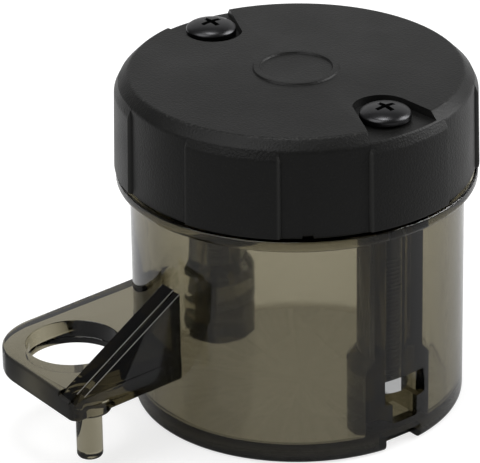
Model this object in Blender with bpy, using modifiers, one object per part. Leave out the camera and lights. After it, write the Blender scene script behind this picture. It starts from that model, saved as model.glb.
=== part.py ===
"""Motorcycle brake fluid reservoir: a clear smoke cup with a screwed black cap.

Metres, +Z up. The origin is the centre of the base's underside. The mounting ear points to -X.
The two cap screws stand on one line through the middle, turned by SCREW_LINE_ANGLE from +X.
"""
import math

import bmesh
import bpy
from mathutils import Matrix, Vector

# Fits
CLEARANCE = 0.0003
OVERRUN = 0.002
SINK = 0.0006
WELD = 0.00001
ROUND_STEPS = 72
SMALL_STEPS = 32
DIAPHRAGM_STEPS = 48
# The crossing walls of the cup and the cap only stay closed with the manifold solver.
WALL_SOLVER = "MANIFOLD"

# Cup
BODY_RADIUS = 0.0269
BODY_WALL = 0.0022
FLOOR_TOP = 0.0026
BASE_ROUNDING = 0.0012
FLOOR_FILLET = 0.0012
FLANGE_OVERHANG = 0.0022
FLANGE_BOTTOM = 0.0384
FLANGE_THICKNESS = 0.0020
FLANGE_EDGE = 0.0004
FLANGE_FILLET = 0.0006
NECK_SETBACK = 0.0007
NECK_HEIGHT = 0.0022

# Cap screws
SCREW_LINE_ANGLE = math.radians(-92.9)
SCREW_SETBACK = 0.0050
SCREW_DIAMETER = 0.0040
SCREW_LENGTH = 0.0480
SCREW_HEAD_DIAMETER = 0.0082
SCREW_HEAD_HEIGHT = 0.0020
SCREW_HEAD_RIM = 0.0008
SCREW_TIP_CHAMFER = 0.0004
DRIVE_WIDTH = 0.0010
DRIVE_SPAN = 0.0044
DRIVE_DEPTH = 0.0011

# Nuts
NUT_FLATS = 0.0070
NUT_HEIGHT = 0.0032

# Screw towers in the cup
TOWER_RADIUS = 0.00475
POCKET_BLOCK_RADIUS = 0.0063
POCKET_BLOCK_TOP = 0.0148
POCKET_SHOULDER_RISE = 0.0016
POCKET_SHOULDER_IN = 0.0013
TOWER_DROP = 0.0004
WEB_SHARE = 0.98
# The slots and the notch reach further to one side of the screw than to the other.
NUT_SLOT_LEFT = 0.0039
NUT_SLOT_RIGHT = 0.0044
NUT_SLOT_BOTTOM = 0.0082
NUT_SLOT_TOP = 0.0127
NUT_SLOT_DEPTH_IN = 0.0044
TIP_SLOT_LEFT = 0.00245
TIP_SLOT_RIGHT = 0.0026
TIP_SLOT_BOTTOM = 0.0048
TIP_SLOT_DEPTH_IN = 0.0028
FOOT_NOTCH_LEFT = 0.0036
FOOT_NOTCH_RIGHT = 0.0018
FOOT_NOTCH_HEIGHT = 0.0024
FOOT_NOTCH_DEPTH = 0.0030

# Mounting ear
EAR_BOTTOM = 0.0116
EAR_THICKNESS = 0.00405
EAR_REACH = 0.0220
EAR_END_LEAN = math.radians(5.0)
EAR_NEAR_EDGE = 0.0021
EAR_FAR_SETBACK = 0.00225
EAR_FAR_CORNER = 0.0106
EAR_NEAR_CORNER = 0.0016
EAR_EDGE_ROUNDING = 0.0003
EAR_HOLE_DIAMETER = 0.0152
EAR_HOLE_FROM_END = 0.0126
EAR_HOLE_FROM_FAR_EDGE = 0.01125
GUSSET_TOP = 0.0263
GUSSET_FOOT_FROM_END = 0.0013
GUSSET_FOOT_HEIGHT = 0.0144
GUSSET_SETBACK = 0.0001
GUSSET_THICKNESS = 0.0043
GUSSET_LEDGE = 0.0012
GUSSET_RISE = 0.0005
PIN_FROM_END = 0.0055
PIN_FROM_NEAR_EDGE = 0.0032
PIN_DIAMETER = 0.0042
PIN_BOTTOM = 0.0028
PIN_END_ROUNDING = 0.0007
PIN_BOSS_RADIUS = 0.0036
PIN_BOSS_DROP = 0.0004
PIN_BOSS_HEIGHT = 0.0023

# Hose outlet
OUTLET_ANGLE = math.radians(11.0)
OUTLET_HEIGHT = 0.0075
OUTLET_LENGTH = 0.0100
OUTLET_RADIUS = 0.0030
OUTLET_BARB_RADIUS = 0.0035
OUTLET_BARB_LENGTH = 0.0030
OUTLET_BORE_RADIUS = 0.00175
OUTLET_BOSS_RADIUS = 0.0042
OUTLET_BOSS_LENGTH = 0.0016

# Cap
CAP_HEIGHT = 0.0160
CAP_TOP_THICKNESS = 0.0024
CAP_SETBACK = 0.0007
CAP_DRAFT = 0.0003
CAP_CHAMFER = 0.0017
CAP_SKIRT_GAP = 0.0006
CAP_LEDGE_WIDTH = 0.0015
CAP_PAD_COUNT = 6
CAP_PAD_SPREAD = math.radians(33.0)
CAP_PAD_HEIGHT = 0.0006
CAP_PAD_DROP = 0.0001
# Each recess is a round well behind the screw with walls that spread towards the cap's edge.
HEAD_RECESS_RADIUS = 0.00465
HEAD_RECESS_IN = 0.0016
HEAD_RECESS_ASIDE = 0.0007
HEAD_RECESS_MOUTH_OUT = 0.0080
HEAD_RECESS_MOUTH_LEFT = 0.0088
HEAD_RECESS_MOUTH_RIGHT = 0.0059
HEAD_RECESS_DEPTH = 0.0013
CAP_BOSS_RADIUS = 0.0044
CAP_BOSS_LIFT = 0.0001
VENT_WIDTH = 0.0018
VENT_HEIGHT = 0.0008
VENT_ANGLE = math.radians(-128.5)
VENT_DEPTH = 0.0012

# Diaphragm
DIAPHRAGM_RIM = 0.0012
DIAPHRAGM_WALL = 0.0010
DIAPHRAGM_BOSS_GAP = 0.0011
DIAPHRAGM_FOLD = 0.0017
DIAPHRAGM_FOLDS = 2
DIAPHRAGM_HEADROOM = 0.0016
FOLD_POINTS = 8

# Heights and radii that follow from the sizes above
BODY_BORE = BODY_RADIUS - BODY_WALL
FLANGE_RADIUS = BODY_RADIUS + FLANGE_OVERHANG
NECK_RADIUS = BODY_RADIUS - NECK_SETBACK
SCREW_CIRCLE = BODY_RADIUS - SCREW_SETBACK
FLANGE_TOP = FLANGE_BOTTOM + FLANGE_THICKNESS
NECK_TOP = FLANGE_TOP + NECK_HEIGHT
TOWER_TOP = NECK_TOP - TOWER_DROP
RIM_BOTTOM = NECK_TOP + CLEARANCE
RIM_TOP = RIM_BOTTOM + DIAPHRAGM_RIM
CAP_LEDGE = RIM_TOP + CLEARANCE
CAP_SKIRT_BOTTOM = FLANGE_TOP + CAP_SKIRT_GAP
CAP_TOP = CAP_SKIRT_BOTTOM + CAP_HEIGHT
CAP_RING_RADIUS = FLANGE_RADIUS - CAP_SETBACK
CAP_FOOT_RADIUS = CAP_RING_RADIUS + CAP_DRAFT
CAP_SKIRT_BORE = NECK_RADIUS + CLEARANCE
CAP_BORE = CAP_SKIRT_BORE - CAP_LEDGE_WIDTH
CAP_CEILING = CAP_TOP - CAP_TOP_THICKNESS
RECESS_FLOOR = CAP_TOP - HEAD_RECESS_DEPTH
SCREW_HOLE_RADIUS = SCREW_DIAMETER / 2 + CLEARANCE
HEAD_SEAT = RECESS_FLOOR + CLEARANCE
SCREW_TIP = HEAD_SEAT - SCREW_LENGTH
NUT_TOP = NUT_SLOT_TOP - CLEARANCE
NUT_BOTTOM = NUT_TOP - NUT_HEIGHT
DIAPHRAGM_OUTER = SCREW_CIRCLE - CAP_BOSS_RADIUS - DIAPHRAGM_BOSS_GAP
EAR_TOP = EAR_BOTTOM + EAR_THICKNESS
EAR_END = BODY_RADIUS + EAR_REACH
EAR_FAR_EDGE = BODY_RADIUS - EAR_FAR_SETBACK
EAR_HOLE_OUT = EAR_END - EAR_HOLE_FROM_END
EAR_HOLE_ACROSS = EAR_FAR_EDGE - EAR_HOLE_FROM_FAR_EDGE
GUSSET_FOOT_OUT = EAR_END - GUSSET_FOOT_FROM_END
PIN_OUT = EAR_END - PIN_FROM_END
PIN_ACROSS = PIN_FROM_NEAR_EDGE - EAR_NEAR_EDGE
SCREW_SIDES = (("front", SCREW_LINE_ANGLE), ("rear", SCREW_LINE_ANGLE + math.pi))


def clear_scene():
    for item in list(bpy.data.objects):
        bpy.data.objects.remove(item, do_unlink=True)


def new_collection(name):
    collection = bpy.data.collections.new(name)
    bpy.context.scene.collection.children.link(collection)
    return collection


def material(name, colour, roughness, metallic=0.0, transmission=0.0):
    made = bpy.data.materials.new(name)
    made.use_nodes = True
    shader = made.node_tree.nodes["Principled BSDF"]
    shader.inputs["Base Color"].default_value = (*colour, 1.0)
    shader.inputs["Roughness"].default_value = roughness
    shader.inputs["Metallic"].default_value = metallic
    shader.inputs["Transmission Weight"].default_value = transmission
    made.diffuse_color = (*colour, 1.0)
    return made


def place(item, collection, finish=None):
    collection.objects.link(item)
    if finish:
        item.data.materials.append(finish)
    if collection is TOOLS:
        item.hide_render = True
        item.display_type = "WIRE"
    return item


def polar(radius, angle, height=0.0):
    return Vector((radius * math.cos(angle), radius * math.sin(angle), height))


def arc(centre, radius, start, end, points):
    """Points on a circle in the profile's plane, angles in degrees."""
    angles = [math.radians(start + (end - start) * i / (points - 1)) for i in range(points)]
    return [(centre[0] + radius * math.cos(a), centre[1] + radius * math.sin(a)) for a in angles]


def turned(name, profile, collection, steps=ROUND_STEPS, finish=None, ring=False):
    """A profile in the XZ plane turned about Z with a Screw modifier."""
    mesh = bpy.data.meshes.new(name)
    edges = [(i, i + 1) for i in range(len(profile) - 1)]
    if ring:
        edges.append((len(profile) - 1, 0))
    mesh.from_pydata([(r, 0.0, z) for r, z in profile], edges, [])
    item = place(bpy.data.objects.new(name, mesh), collection, finish)
    screw = item.modifiers.new("Turn", "SCREW")
    screw.axis = "Z"
    screw.steps = screw.render_steps = steps
    screw.use_merge_vertices = True
    screw.merge_threshold = WELD
    screw.use_smooth_shade = True
    return item


def cylinder(name, radius, bottom, top, collection, at=(0.0, 0.0), steps=SMALL_STEPS, finish=None):
    mesh = bpy.data.meshes.new(name)
    shape = bmesh.new()
    bmesh.ops.create_cone(
        shape, cap_ends=True, segments=steps, radius1=radius, radius2=radius, depth=top - bottom
    )
    bmesh.ops.translate(shape, verts=shape.verts, vec=(at[0], at[1], (bottom + top) / 2))
    shape.to_mesh(mesh)
    shape.free()
    return place(bpy.data.objects.new(name, mesh), collection, finish)


def block(name, low, high, collection, turn=0.0):
    """A box from its low to its high corner, then turned about Z."""
    mesh = bpy.data.meshes.new(name)
    shape = bmesh.new()
    bmesh.ops.create_cube(shape, size=1.0)
    low, high = Vector(low), Vector(high)
    bmesh.ops.scale(shape, verts=shape.verts, vec=high - low)
    bmesh.ops.translate(shape, verts=shape.verts, vec=(low + high) / 2)
    bmesh.ops.rotate(shape, verts=shape.verts, matrix=Matrix.Rotation(turn, 3, "Z"))
    shape.to_mesh(mesh)
    shape.free()
    return place(bpy.data.objects.new(name, mesh), collection)


def outline_solid(name, points, thickness, matrix, collection):
    """A flat closed outline given its thickness, as a mesh that can be cut and joined."""
    curve = bpy.data.curves.new(name, "CURVE")
    curve.dimensions = "2D"
    curve.fill_mode = "BOTH"
    curve.extrude = thickness / 2
    spline = curve.splines.new("POLY")
    spline.points.add(len(points) - 1)
    for point, (x, y) in zip(spline.points, points):
        point.co = (x, y, 0.0, 1.0)
    spline.use_cyclic_u = True
    drawn = bpy.data.objects.new(name + "_outline", curve)
    drawn.matrix_world = matrix
    bpy.context.scene.collection.objects.link(drawn)
    graph = bpy.context.evaluated_depsgraph_get()
    mesh = bpy.data.meshes.new_from_object(drawn.evaluated_get(graph))
    shape = bmesh.new()
    shape.from_mesh(mesh)
    bmesh.ops.remove_doubles(shape, verts=shape.verts, dist=WELD)
    bmesh.ops.recalc_face_normals(shape, faces=shape.faces)
    shape.to_mesh(mesh)
    shape.free()
    item = place(bpy.data.objects.new(name, mesh), collection)
    item.matrix_world = drawn.matrix_world.copy()
    bpy.data.objects.remove(drawn)
    return item


def side_solid(name, points, near, far, collection):
    """An outline in the XZ plane drawn out along Y from near to far."""
    mesh = bpy.data.meshes.new(name)
    shape = bmesh.new()
    base = shape.faces.new([shape.verts.new((x, near, z)) for x, z in points])
    drawn = bmesh.ops.extrude_face_region(shape, geom=[base])
    for item in drawn["geom"]:
        if isinstance(item, bmesh.types.BMVert):
            item.co.y = far
    bmesh.ops.recalc_face_normals(shape, faces=shape.faces)
    shape.to_mesh(mesh)
    shape.free()
    return place(bpy.data.objects.new(name, mesh), collection)


def round_far_edges(plate):
    """Small rounding along the ear's end and far edges. Its near edge stays sharp."""
    weights = plate.data.attributes.new("bevel_weight_edge", "FLOAT", "EDGE")
    limit = -EAR_NEAR_EDGE + EAR_NEAR_CORNER
    for edge in plate.data.edges:
        start, end = (plate.data.vertices[i].co for i in edge.vertices)
        level = abs(start.z - end.z) < CLEARANCE
        outer = min(start.y, end.y) > limit - CLEARANCE / 10
        root = max(start.x, end.x) > -BODY_RADIUS / 2 and min(start.y, end.y) < EAR_FAR_EDGE * 0.9
        weights.data[edge.index].value = 1.0 if level and outer and not root else 0.0
    edge_round = plate.modifiers.new("Edges", "BEVEL")
    edge_round.width = EAR_EDGE_ROUNDING
    edge_round.segments = 2
    edge_round.limit_method = "WEIGHT"
    return plate


def combine(target, tool, operation, solver="EXACT"):
    step = target.modifiers.new(operation.title() + " " + tool.name, "BOOLEAN")
    step.operation = operation
    step.solver = solver
    step.object = tool


def join(target, *tools, solver="EXACT"):
    for tool in tools:
        combine(target, tool, "UNION", solver)


def cut(target, *tools, solver="EXACT"):
    for tool in tools:
        combine(target, tool, "DIFFERENCE", solver)


def cup_shell(finish):
    """The cup, its rim flange and its neck in one turned profile."""
    outer_flange = FLANGE_RADIUS - FLANGE_EDGE
    profile = [(0.0, FLOOR_TOP)]
    profile += arc(
        (BODY_BORE - FLOOR_FILLET, FLOOR_TOP + FLOOR_FILLET), FLOOR_FILLET, -90, 0, 5
    )
    profile += [(BODY_BORE, NECK_TOP), (NECK_RADIUS, NECK_TOP), (NECK_RADIUS, FLANGE_TOP)]
    profile += [(outer_flange, FLANGE_TOP), (FLANGE_RADIUS, FLANGE_TOP - FLANGE_EDGE)]
    profile += [(FLANGE_RADIUS, FLANGE_BOTTOM + FLANGE_EDGE), (outer_flange, FLANGE_BOTTOM)]
    profile += arc(
        (BODY_RADIUS + FLANGE_FILLET, FLANGE_BOTTOM - FLANGE_FILLET), FLANGE_FILLET, 90, 180, 4
    )
    profile += arc(
        (BODY_RADIUS - BASE_ROUNDING, BASE_ROUNDING), BASE_ROUNDING, 0, -90, 5
    )
    profile += [(0.0, 0.0)]
    return turned("reservoir_body", profile, PARTS, finish=finish)


def screw_tower(side, angle):
    """One inner tower: a round column webbed to the wall, wider at the nut pocket."""
    at = polar(SCREW_CIRCLE, angle)
    bottom = FLOOR_TOP - SINK
    outer = BODY_RADIUS + OVERRUN
    tower = cylinder(side + "_tower", TOWER_RADIUS, bottom, TOWER_TOP, TOOLS, at)
    web = block(
        side + "_tower_web",
        (SCREW_CIRCLE, -TOWER_RADIUS * WEB_SHARE, bottom - SINK / 3),
        (outer, TOWER_RADIUS * WEB_SHARE, TOWER_TOP - SINK / 3),
        TOOLS,
        angle,
    )
    shoulder = POCKET_BLOCK_TOP + POCKET_SHOULDER_RISE
    low = bottom - SINK / 2
    profile = [(0.0, shoulder), (POCKET_BLOCK_RADIUS - POCKET_SHOULDER_IN, shoulder)]
    profile += [(POCKET_BLOCK_RADIUS, POCKET_BLOCK_TOP), (POCKET_BLOCK_RADIUS, low), (0.0, low)]
    pocket = turned(side + "_pocket", profile, TOOLS, steps=SMALL_STEPS)
    pocket.location = at
    pocket_web = block(
        side + "_pocket_web",
        (SCREW_CIRCLE, -POCKET_BLOCK_RADIUS * WEB_SHARE, bottom + SINK / 3),
        (outer, POCKET_BLOCK_RADIUS * WEB_SHARE, POCKET_BLOCK_TOP - SINK / 3),
        TOOLS,
        angle,
    )
    wall_middle = BODY_BORE + BODY_WALL / 2
    core = cylinder(side + "_core", wall_middle, 0.0, NECK_TOP, TOOLS, steps=ROUND_STEPS)
    join(tower, web, pocket, pocket_web, solver=WALL_SOLVER)
    combine(tower, core, "INTERSECT", WALL_SOLVER)
    return tower


def tower_cutters(side, angle):
    """The screw bore, the slot that takes the nut, the slot under it and the foot notch."""
    at = polar(SCREW_CIRCLE, angle)
    outside = BODY_RADIUS + OVERRUN
    bore = cylinder(
        side + "_screw_bore", SCREW_HOLE_RADIUS, SCREW_TIP - CLEARANCE * 2, NECK_TOP + OVERRUN, TOOLS, at
    )
    nut_slot = block(
        side + "_nut_slot",
        (SCREW_CIRCLE - NUT_SLOT_DEPTH_IN, -NUT_SLOT_LEFT, NUT_SLOT_BOTTOM),
        (outside, NUT_SLOT_RIGHT, NUT_SLOT_TOP),
        TOOLS,
        angle,
    )
    tip_slot = block(
        side + "_tip_slot",
        (SCREW_CIRCLE - TIP_SLOT_DEPTH_IN, -TIP_SLOT_LEFT, TIP_SLOT_BOTTOM),
        (outside, TIP_SLOT_RIGHT, NUT_SLOT_BOTTOM + SINK),
        TOOLS,
        angle,
    )
    notch = block(
        side + "_foot_notch",
        (BODY_RADIUS - FOOT_NOTCH_DEPTH, -FOOT_NOTCH_LEFT, -OVERRUN),
        (outside, FOOT_NOTCH_RIGHT, FOOT_NOTCH_HEIGHT),
        TOOLS,
        angle,
    )
    return bore, nut_slot, tip_slot, notch


def ear_corner(radius, across):
    """Centre of a corner of the ear that touches its leaning end edge."""
    out = -EAR_END + math.tan(EAR_END_LEAN) * (across + EAR_NEAR_EDGE)
    return out + radius / math.cos(EAR_END_LEAN), across


def ear_plate():
    """The flat ear with its rounded far corner, reaching to -X from the cup's wall."""
    root = BODY_BORE * 0.6
    far_centre = ear_corner(EAR_FAR_CORNER, EAR_FAR_EDGE - EAR_FAR_CORNER)
    near_centre = ear_corner(EAR_NEAR_CORNER, -EAR_NEAR_EDGE + EAR_NEAR_CORNER)
    end_side = 180 - math.degrees(EAR_END_LEAN)
    outline = [(-root, -EAR_NEAR_EDGE), (-root, EAR_FAR_EDGE * 0.5), (0.0, EAR_FAR_EDGE)]
    outline += arc(far_centre, EAR_FAR_CORNER, 90, end_side, 13)
    outline += arc(near_centre, EAR_NEAR_CORNER, end_side, 270, 5)
    middle = Matrix.Translation((0.0, 0.0, EAR_BOTTOM + EAR_THICKNESS / 2))
    return round_far_edges(outline_solid("ear_plate", outline, EAR_THICKNESS, middle, TOOLS))


def gusset_slope(out):
    """Height of the gusset's sloping edge at a distance out from the middle."""
    fall = (GUSSET_TOP - GUSSET_FOOT_HEIGHT) / (GUSSET_FOOT_OUT - BODY_RADIUS)
    return GUSSET_TOP - (out - BODY_RADIUS) * fall


def gusset_blank():
    """The upright wall of the gusset before its slope is cut."""
    root = BODY_BORE * 0.8
    end = EAR_END - EAR_NEAR_CORNER * 1.5
    foot = EAR_BOTTOM + EAR_THICKNESS / 3
    top = gusset_slope(root) + GUSSET_RISE + OVERRUN
    points = [(-root, foot), (-end, foot), (-end, top), (-root, top)]
    near = -EAR_NEAR_EDGE + GUSSET_SETBACK
    return side_solid("gusset_blank", points, near, near + GUSSET_THICKNESS, TOOLS)


def slope_cutter(name, far, rise):
    """What is taken off above the gusset's slope, the ear's near corner included."""
    start, end = 0.0, EAR_END + OVERRUN
    top = GUSSET_TOP + EAR_END
    points = [(-start, gusset_slope(start) + rise), (-end, gusset_slope(end) + rise)]
    points += [(-end, top), (-start, top)]
    near = -EAR_NEAR_EDGE - OVERRUN
    return side_solid(name, points, near, near + OVERRUN + GUSSET_SETBACK + far, TOOLS)


def locating_pin():
    """The pin under the ear's near corner, with its root boss."""
    at = (-PIN_OUT, PIN_ACROSS, 0.0)
    pin_radius = PIN_DIAMETER / 2
    boss_bottom = EAR_BOTTOM - PIN_BOSS_DROP
    profile = [(0.0, boss_bottom + PIN_BOSS_HEIGHT), (PIN_BOSS_RADIUS, boss_bottom + PIN_BOSS_HEIGHT)]
    profile += [(PIN_BOSS_RADIUS, boss_bottom), (pin_radius, boss_bottom)]
    profile += arc(
        (pin_radius - PIN_END_ROUNDING, PIN_BOTTOM + PIN_END_ROUNDING), PIN_END_ROUNDING, 0, -90, 4
    )
    profile += [(0.0, PIN_BOTTOM)]
    pin = turned("locating_pin", profile, TOOLS, steps=SMALL_STEPS)
    pin.location = at
    return pin


def outlet(name, profile):
    """A turned shape laid along the hose outlet's direction."""
    item = turned(name, profile, TOOLS, steps=SMALL_STEPS)
    lay = Matrix.Rotation(OUTLET_ANGLE, 4, "Z") @ Matrix.Rotation(math.pi / 2, 4, "Y")
    item.matrix_world = Matrix.Translation((0.0, 0.0, OUTLET_HEIGHT)) @ lay
    return item


def outlet_spigot():
    """The hose spigot with one barb, from inside the wall to its end."""
    end = BODY_RADIUS + OUTLET_LENGTH
    root = BODY_BORE + BODY_WALL * 0.45
    boss_end = BODY_RADIUS + OUTLET_BOSS_LENGTH
    barb = end - OUTLET_BARB_LENGTH
    profile = [(0.0, end), (OUTLET_RADIUS - CLEARANCE, end), (OUTLET_BARB_RADIUS, barb)]
    profile += [(OUTLET_RADIUS, barb), (OUTLET_RADIUS, boss_end), (OUTLET_BOSS_RADIUS, boss_end)]
    profile += [(OUTLET_BOSS_RADIUS, root), (0.0, root)]
    return outlet("outlet_spigot", profile)


def outlet_bore():
    end = BODY_RADIUS + OUTLET_LENGTH + OVERRUN
    start = BODY_BORE - OVERRUN
    profile = [(0.0, end), (OUTLET_BORE_RADIUS, end), (OUTLET_BORE_RADIUS, start), (0.0, start)]
    return outlet("outlet_bore", profile)


def reservoir_body(finish):
    body = cup_shell(finish)
    wall_middle = BODY_BORE + BODY_WALL / 2
    ear = ear_plate()
    join(ear, gusset_blank(), solver=WALL_SOLVER)
    cut(
        ear,
        slope_cutter("gusset_top", GUSSET_THICKNESS, GUSSET_RISE),
        slope_cutter("gusset_ledge", GUSSET_LEDGE, 0.0),
        solver=WALL_SOLVER,
    )
    join(ear, locating_pin(), solver=WALL_SOLVER)
    hole = (-EAR_HOLE_OUT, EAR_HOLE_ACROSS)
    bottom, top = EAR_BOTTOM - OVERRUN, EAR_TOP + OVERRUN
    cut(
        ear,
        cylinder("ear_hole", EAR_HOLE_DIAMETER / 2, bottom, top, TOOLS, hole, steps=48),
        cylinder("wall_core", wall_middle, 0.0, FLANGE_BOTTOM, TOOLS, steps=ROUND_STEPS),
        solver=WALL_SOLVER,
    )
    join(body, ear, outlet_spigot(), solver=WALL_SOLVER)
    for side, angle in SCREW_SIDES:
        join(body, screw_tower(side, angle), solver=WALL_SOLVER)
    cut(body, outlet_bore(), solver=WALL_SOLVER)
    for side, angle in SCREW_SIDES:
        cut(body, *tower_cutters(side, angle), solver=WALL_SOLVER)
    return body


def cap_pads():
    """Shallow raised pads round the skirt that run up into the cap's chamfer."""
    inside = CAP_SKIRT_BORE + SINK
    upper = CAP_TOP - CAP_CHAMFER - CAP_PAD_DROP
    low, high = CAP_SKIRT_BOTTOM, upper - CAP_PAD_HEIGHT
    ring = [(inside, upper), (CAP_RING_RADIUS - CAP_PAD_DROP, upper)]
    ring += [(CAP_RING_RADIUS + CAP_PAD_HEIGHT, high)]
    ring += [(CAP_FOOT_RADIUS + CAP_PAD_HEIGHT, low), (inside, low)]
    pads = turned("cap_pads", ring, TOOLS, ring=True)
    half = CAP_FOOT_RADIUS * math.sin(CAP_PAD_SPREAD / 2)
    reach = CAP_FOOT_RADIUS + OVERRUN
    sides = None
    for index in range(CAP_PAD_COUNT):
        angle = SCREW_LINE_ANGLE + index * 2 * math.pi / CAP_PAD_COUNT
        start = CAP_BORE * math.cos(CAP_PAD_SPREAD / 2) - OVERRUN
        side = block(
            f"cap_pad_{index}", (start, -half, low - OVERRUN), (reach, half, CAP_TOP), TOOLS, angle
        )
        if sides is None:
            sides = side
        else:
            join(sides, side)
    combine(pads, sides, "INTERSECT")
    return pads


def head_recess(side, angle):
    """The recess that the screw head sits in, a round well that opens to the cap's edge."""
    centre = (SCREW_CIRCLE - HEAD_RECESS_IN, HEAD_RECESS_ASIDE)
    mouth = SCREW_CIRCLE + HEAD_RECESS_MOUTH_OUT
    points = [(mouth, HEAD_RECESS_MOUTH_RIGHT)]
    points += arc(centre, HEAD_RECESS_RADIUS, 92, 226, 13)
    points += [(mouth, -HEAD_RECESS_MOUTH_LEFT)]
    depth = HEAD_RECESS_DEPTH + OVERRUN
    stand = Matrix.Translation((0.0, 0.0, RECESS_FLOOR + depth / 2))
    return outline_solid(side + "_recess", points, depth, Matrix.Rotation(angle, 4, "Z") @ stand, TOOLS)


def cap(finish):
    """The cap: chamfered top, stepped bore, grip pads, screw bosses, recesses and vent notch."""
    profile = [(0.0, CAP_TOP), (CAP_RING_RADIUS - CAP_CHAMFER, CAP_TOP)]
    profile += [(CAP_RING_RADIUS, CAP_TOP - CAP_CHAMFER), (CAP_FOOT_RADIUS, CAP_SKIRT_BOTTOM)]
    profile += [(CAP_SKIRT_BORE, CAP_SKIRT_BOTTOM), (CAP_SKIRT_BORE, CAP_LEDGE)]
    profile += [(CAP_BORE, CAP_LEDGE), (CAP_BORE, CAP_CEILING), (0.0, CAP_CEILING)]
    item = turned("cap", profile, PARTS, finish=finish)
    join(item, cap_pads(), solver=WALL_SOLVER)
    for side, angle in SCREW_SIDES:
        at = polar(SCREW_CIRCLE, angle)
        boss = cylinder(
            side + "_cap_boss", CAP_BOSS_RADIUS, CAP_LEDGE + CAP_BOSS_LIFT, CAP_CEILING + SINK, TOOLS, at
        )
        join(item, boss, solver=WALL_SOLVER)
    for side, angle in SCREW_SIDES:
        at = polar(SCREW_CIRCLE, angle)
        hole = cylinder(
            side + "_cap_hole", SCREW_HOLE_RADIUS, CAP_LEDGE - OVERRUN, CAP_TOP + OVERRUN, TOOLS, at
        )
        cut(item, head_recess(side, angle), hole, solver=WALL_SOLVER)
    notch = block(
        "vent_notch",
        (CAP_FOOT_RADIUS - VENT_DEPTH, -VENT_WIDTH / 2, CAP_SKIRT_BOTTOM - OVERRUN),
        (CAP_FOOT_RADIUS + OVERRUN, VENT_WIDTH / 2, CAP_SKIRT_BOTTOM + VENT_HEIGHT),
        TOOLS,
        VENT_ANGLE,
    )
    cut(item, notch, solver=WALL_SOLVER)
    return item


def bellows_line(offset):
    """The folded wall from rim to crown, moved sideways by an offset from its middle."""
    low = RIM_TOP + DIAPHRAGM_WALL / 2
    high = CAP_CEILING - DIAPHRAGM_HEADROOM
    count = DIAPHRAGM_FOLDS * FOLD_POINTS
    middle_radius = DIAPHRAGM_OUTER - DIAPHRAGM_FOLD
    line = []
    for i in range(count + 1):
        turn = 2 * math.pi * DIAPHRAGM_FOLDS * i / count
        radius = middle_radius + DIAPHRAGM_FOLD * math.cos(turn)
        height = low + (high - low) * i / count
        slope = -DIAPHRAGM_FOLD * math.sin(turn) * 2 * math.pi * DIAPHRAGM_FOLDS
        rise = high - low
        length = math.hypot(slope, rise)
        line.append((radius + offset * rise / length, height - offset * slope / length))
    return line


def diaphragm(finish):
    """The rubber bellows: a flat rim that the cap clamps, folded wall and flat crown."""
    half = DIAPHRAGM_WALL / 2
    crown = CAP_CEILING - DIAPHRAGM_HEADROOM + half
    outer = bellows_line(half)
    inner = bellows_line(-half)
    rim = NECK_RADIUS - CLEARANCE
    profile = [(0.0, crown), (outer[-1][0] - half, crown)]
    profile += outer[::-1]
    profile += [(outer[0][0], RIM_TOP), (rim, RIM_TOP), (rim, RIM_BOTTOM)]
    profile += [(inner[0][0], RIM_BOTTOM)]
    profile += inner
    profile += [(inner[-1][0] - half, crown - DIAPHRAGM_WALL), (0.0, crown - DIAPHRAGM_WALL)]
    item = turned("diaphragm", profile, PARTS, steps=DIAPHRAGM_STEPS, finish=finish)
    for side, angle in SCREW_SIDES:
        at = polar(SCREW_CIRCLE, angle)
        hole = cylinder(
            side + "_rim_hole",
            SCREW_HOLE_RADIUS + CLEARANCE,
            RIM_BOTTOM - OVERRUN,
            RIM_TOP + OVERRUN,
            TOOLS,
            at,
            steps=20,
        )
        cut(item, hole)
    return item


def cap_screw(side, angle, finish):
    """A domed-head machine screw with a cross recess. Its origin is on its own axis."""
    head = SCREW_HEAD_DIAMETER / 2
    shank = SCREW_DIAMETER / 2
    dome = SCREW_HEAD_HEIGHT - SCREW_HEAD_RIM
    dome_points = 6
    profile = []
    for i in range(dome_points + 1):
        turn = math.pi / 2 * i / dome_points
        profile.append((head * math.sin(turn), SCREW_HEAD_RIM + dome * math.cos(turn)))
    profile += [(head, 0.0), (shank, 0.0), (shank, -SCREW_LENGTH + SCREW_TIP_CHAMFER)]
    profile += [(shank - SCREW_TIP_CHAMFER, -SCREW_LENGTH), (0.0, -SCREW_LENGTH)]
    item = turned("cap_screw_" + side, profile, PARTS, steps=24, finish=finish)
    item.location = polar(SCREW_CIRCLE, angle, HEAD_SEAT)
    top = SCREW_HEAD_HEIGHT
    for arm, turn in (("slot_a", 0.0), ("slot_b", math.pi / 2)):
        slot = block(
            f"{side}_{arm}",
            (-DRIVE_SPAN / 2, -DRIVE_WIDTH / 2, top - DRIVE_DEPTH),
            (DRIVE_SPAN / 2, DRIVE_WIDTH / 2, top + OVERRUN),
            TOOLS,
            angle + turn,
        )
        slot.location = item.location
        cut(item, slot)
    return item


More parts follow.
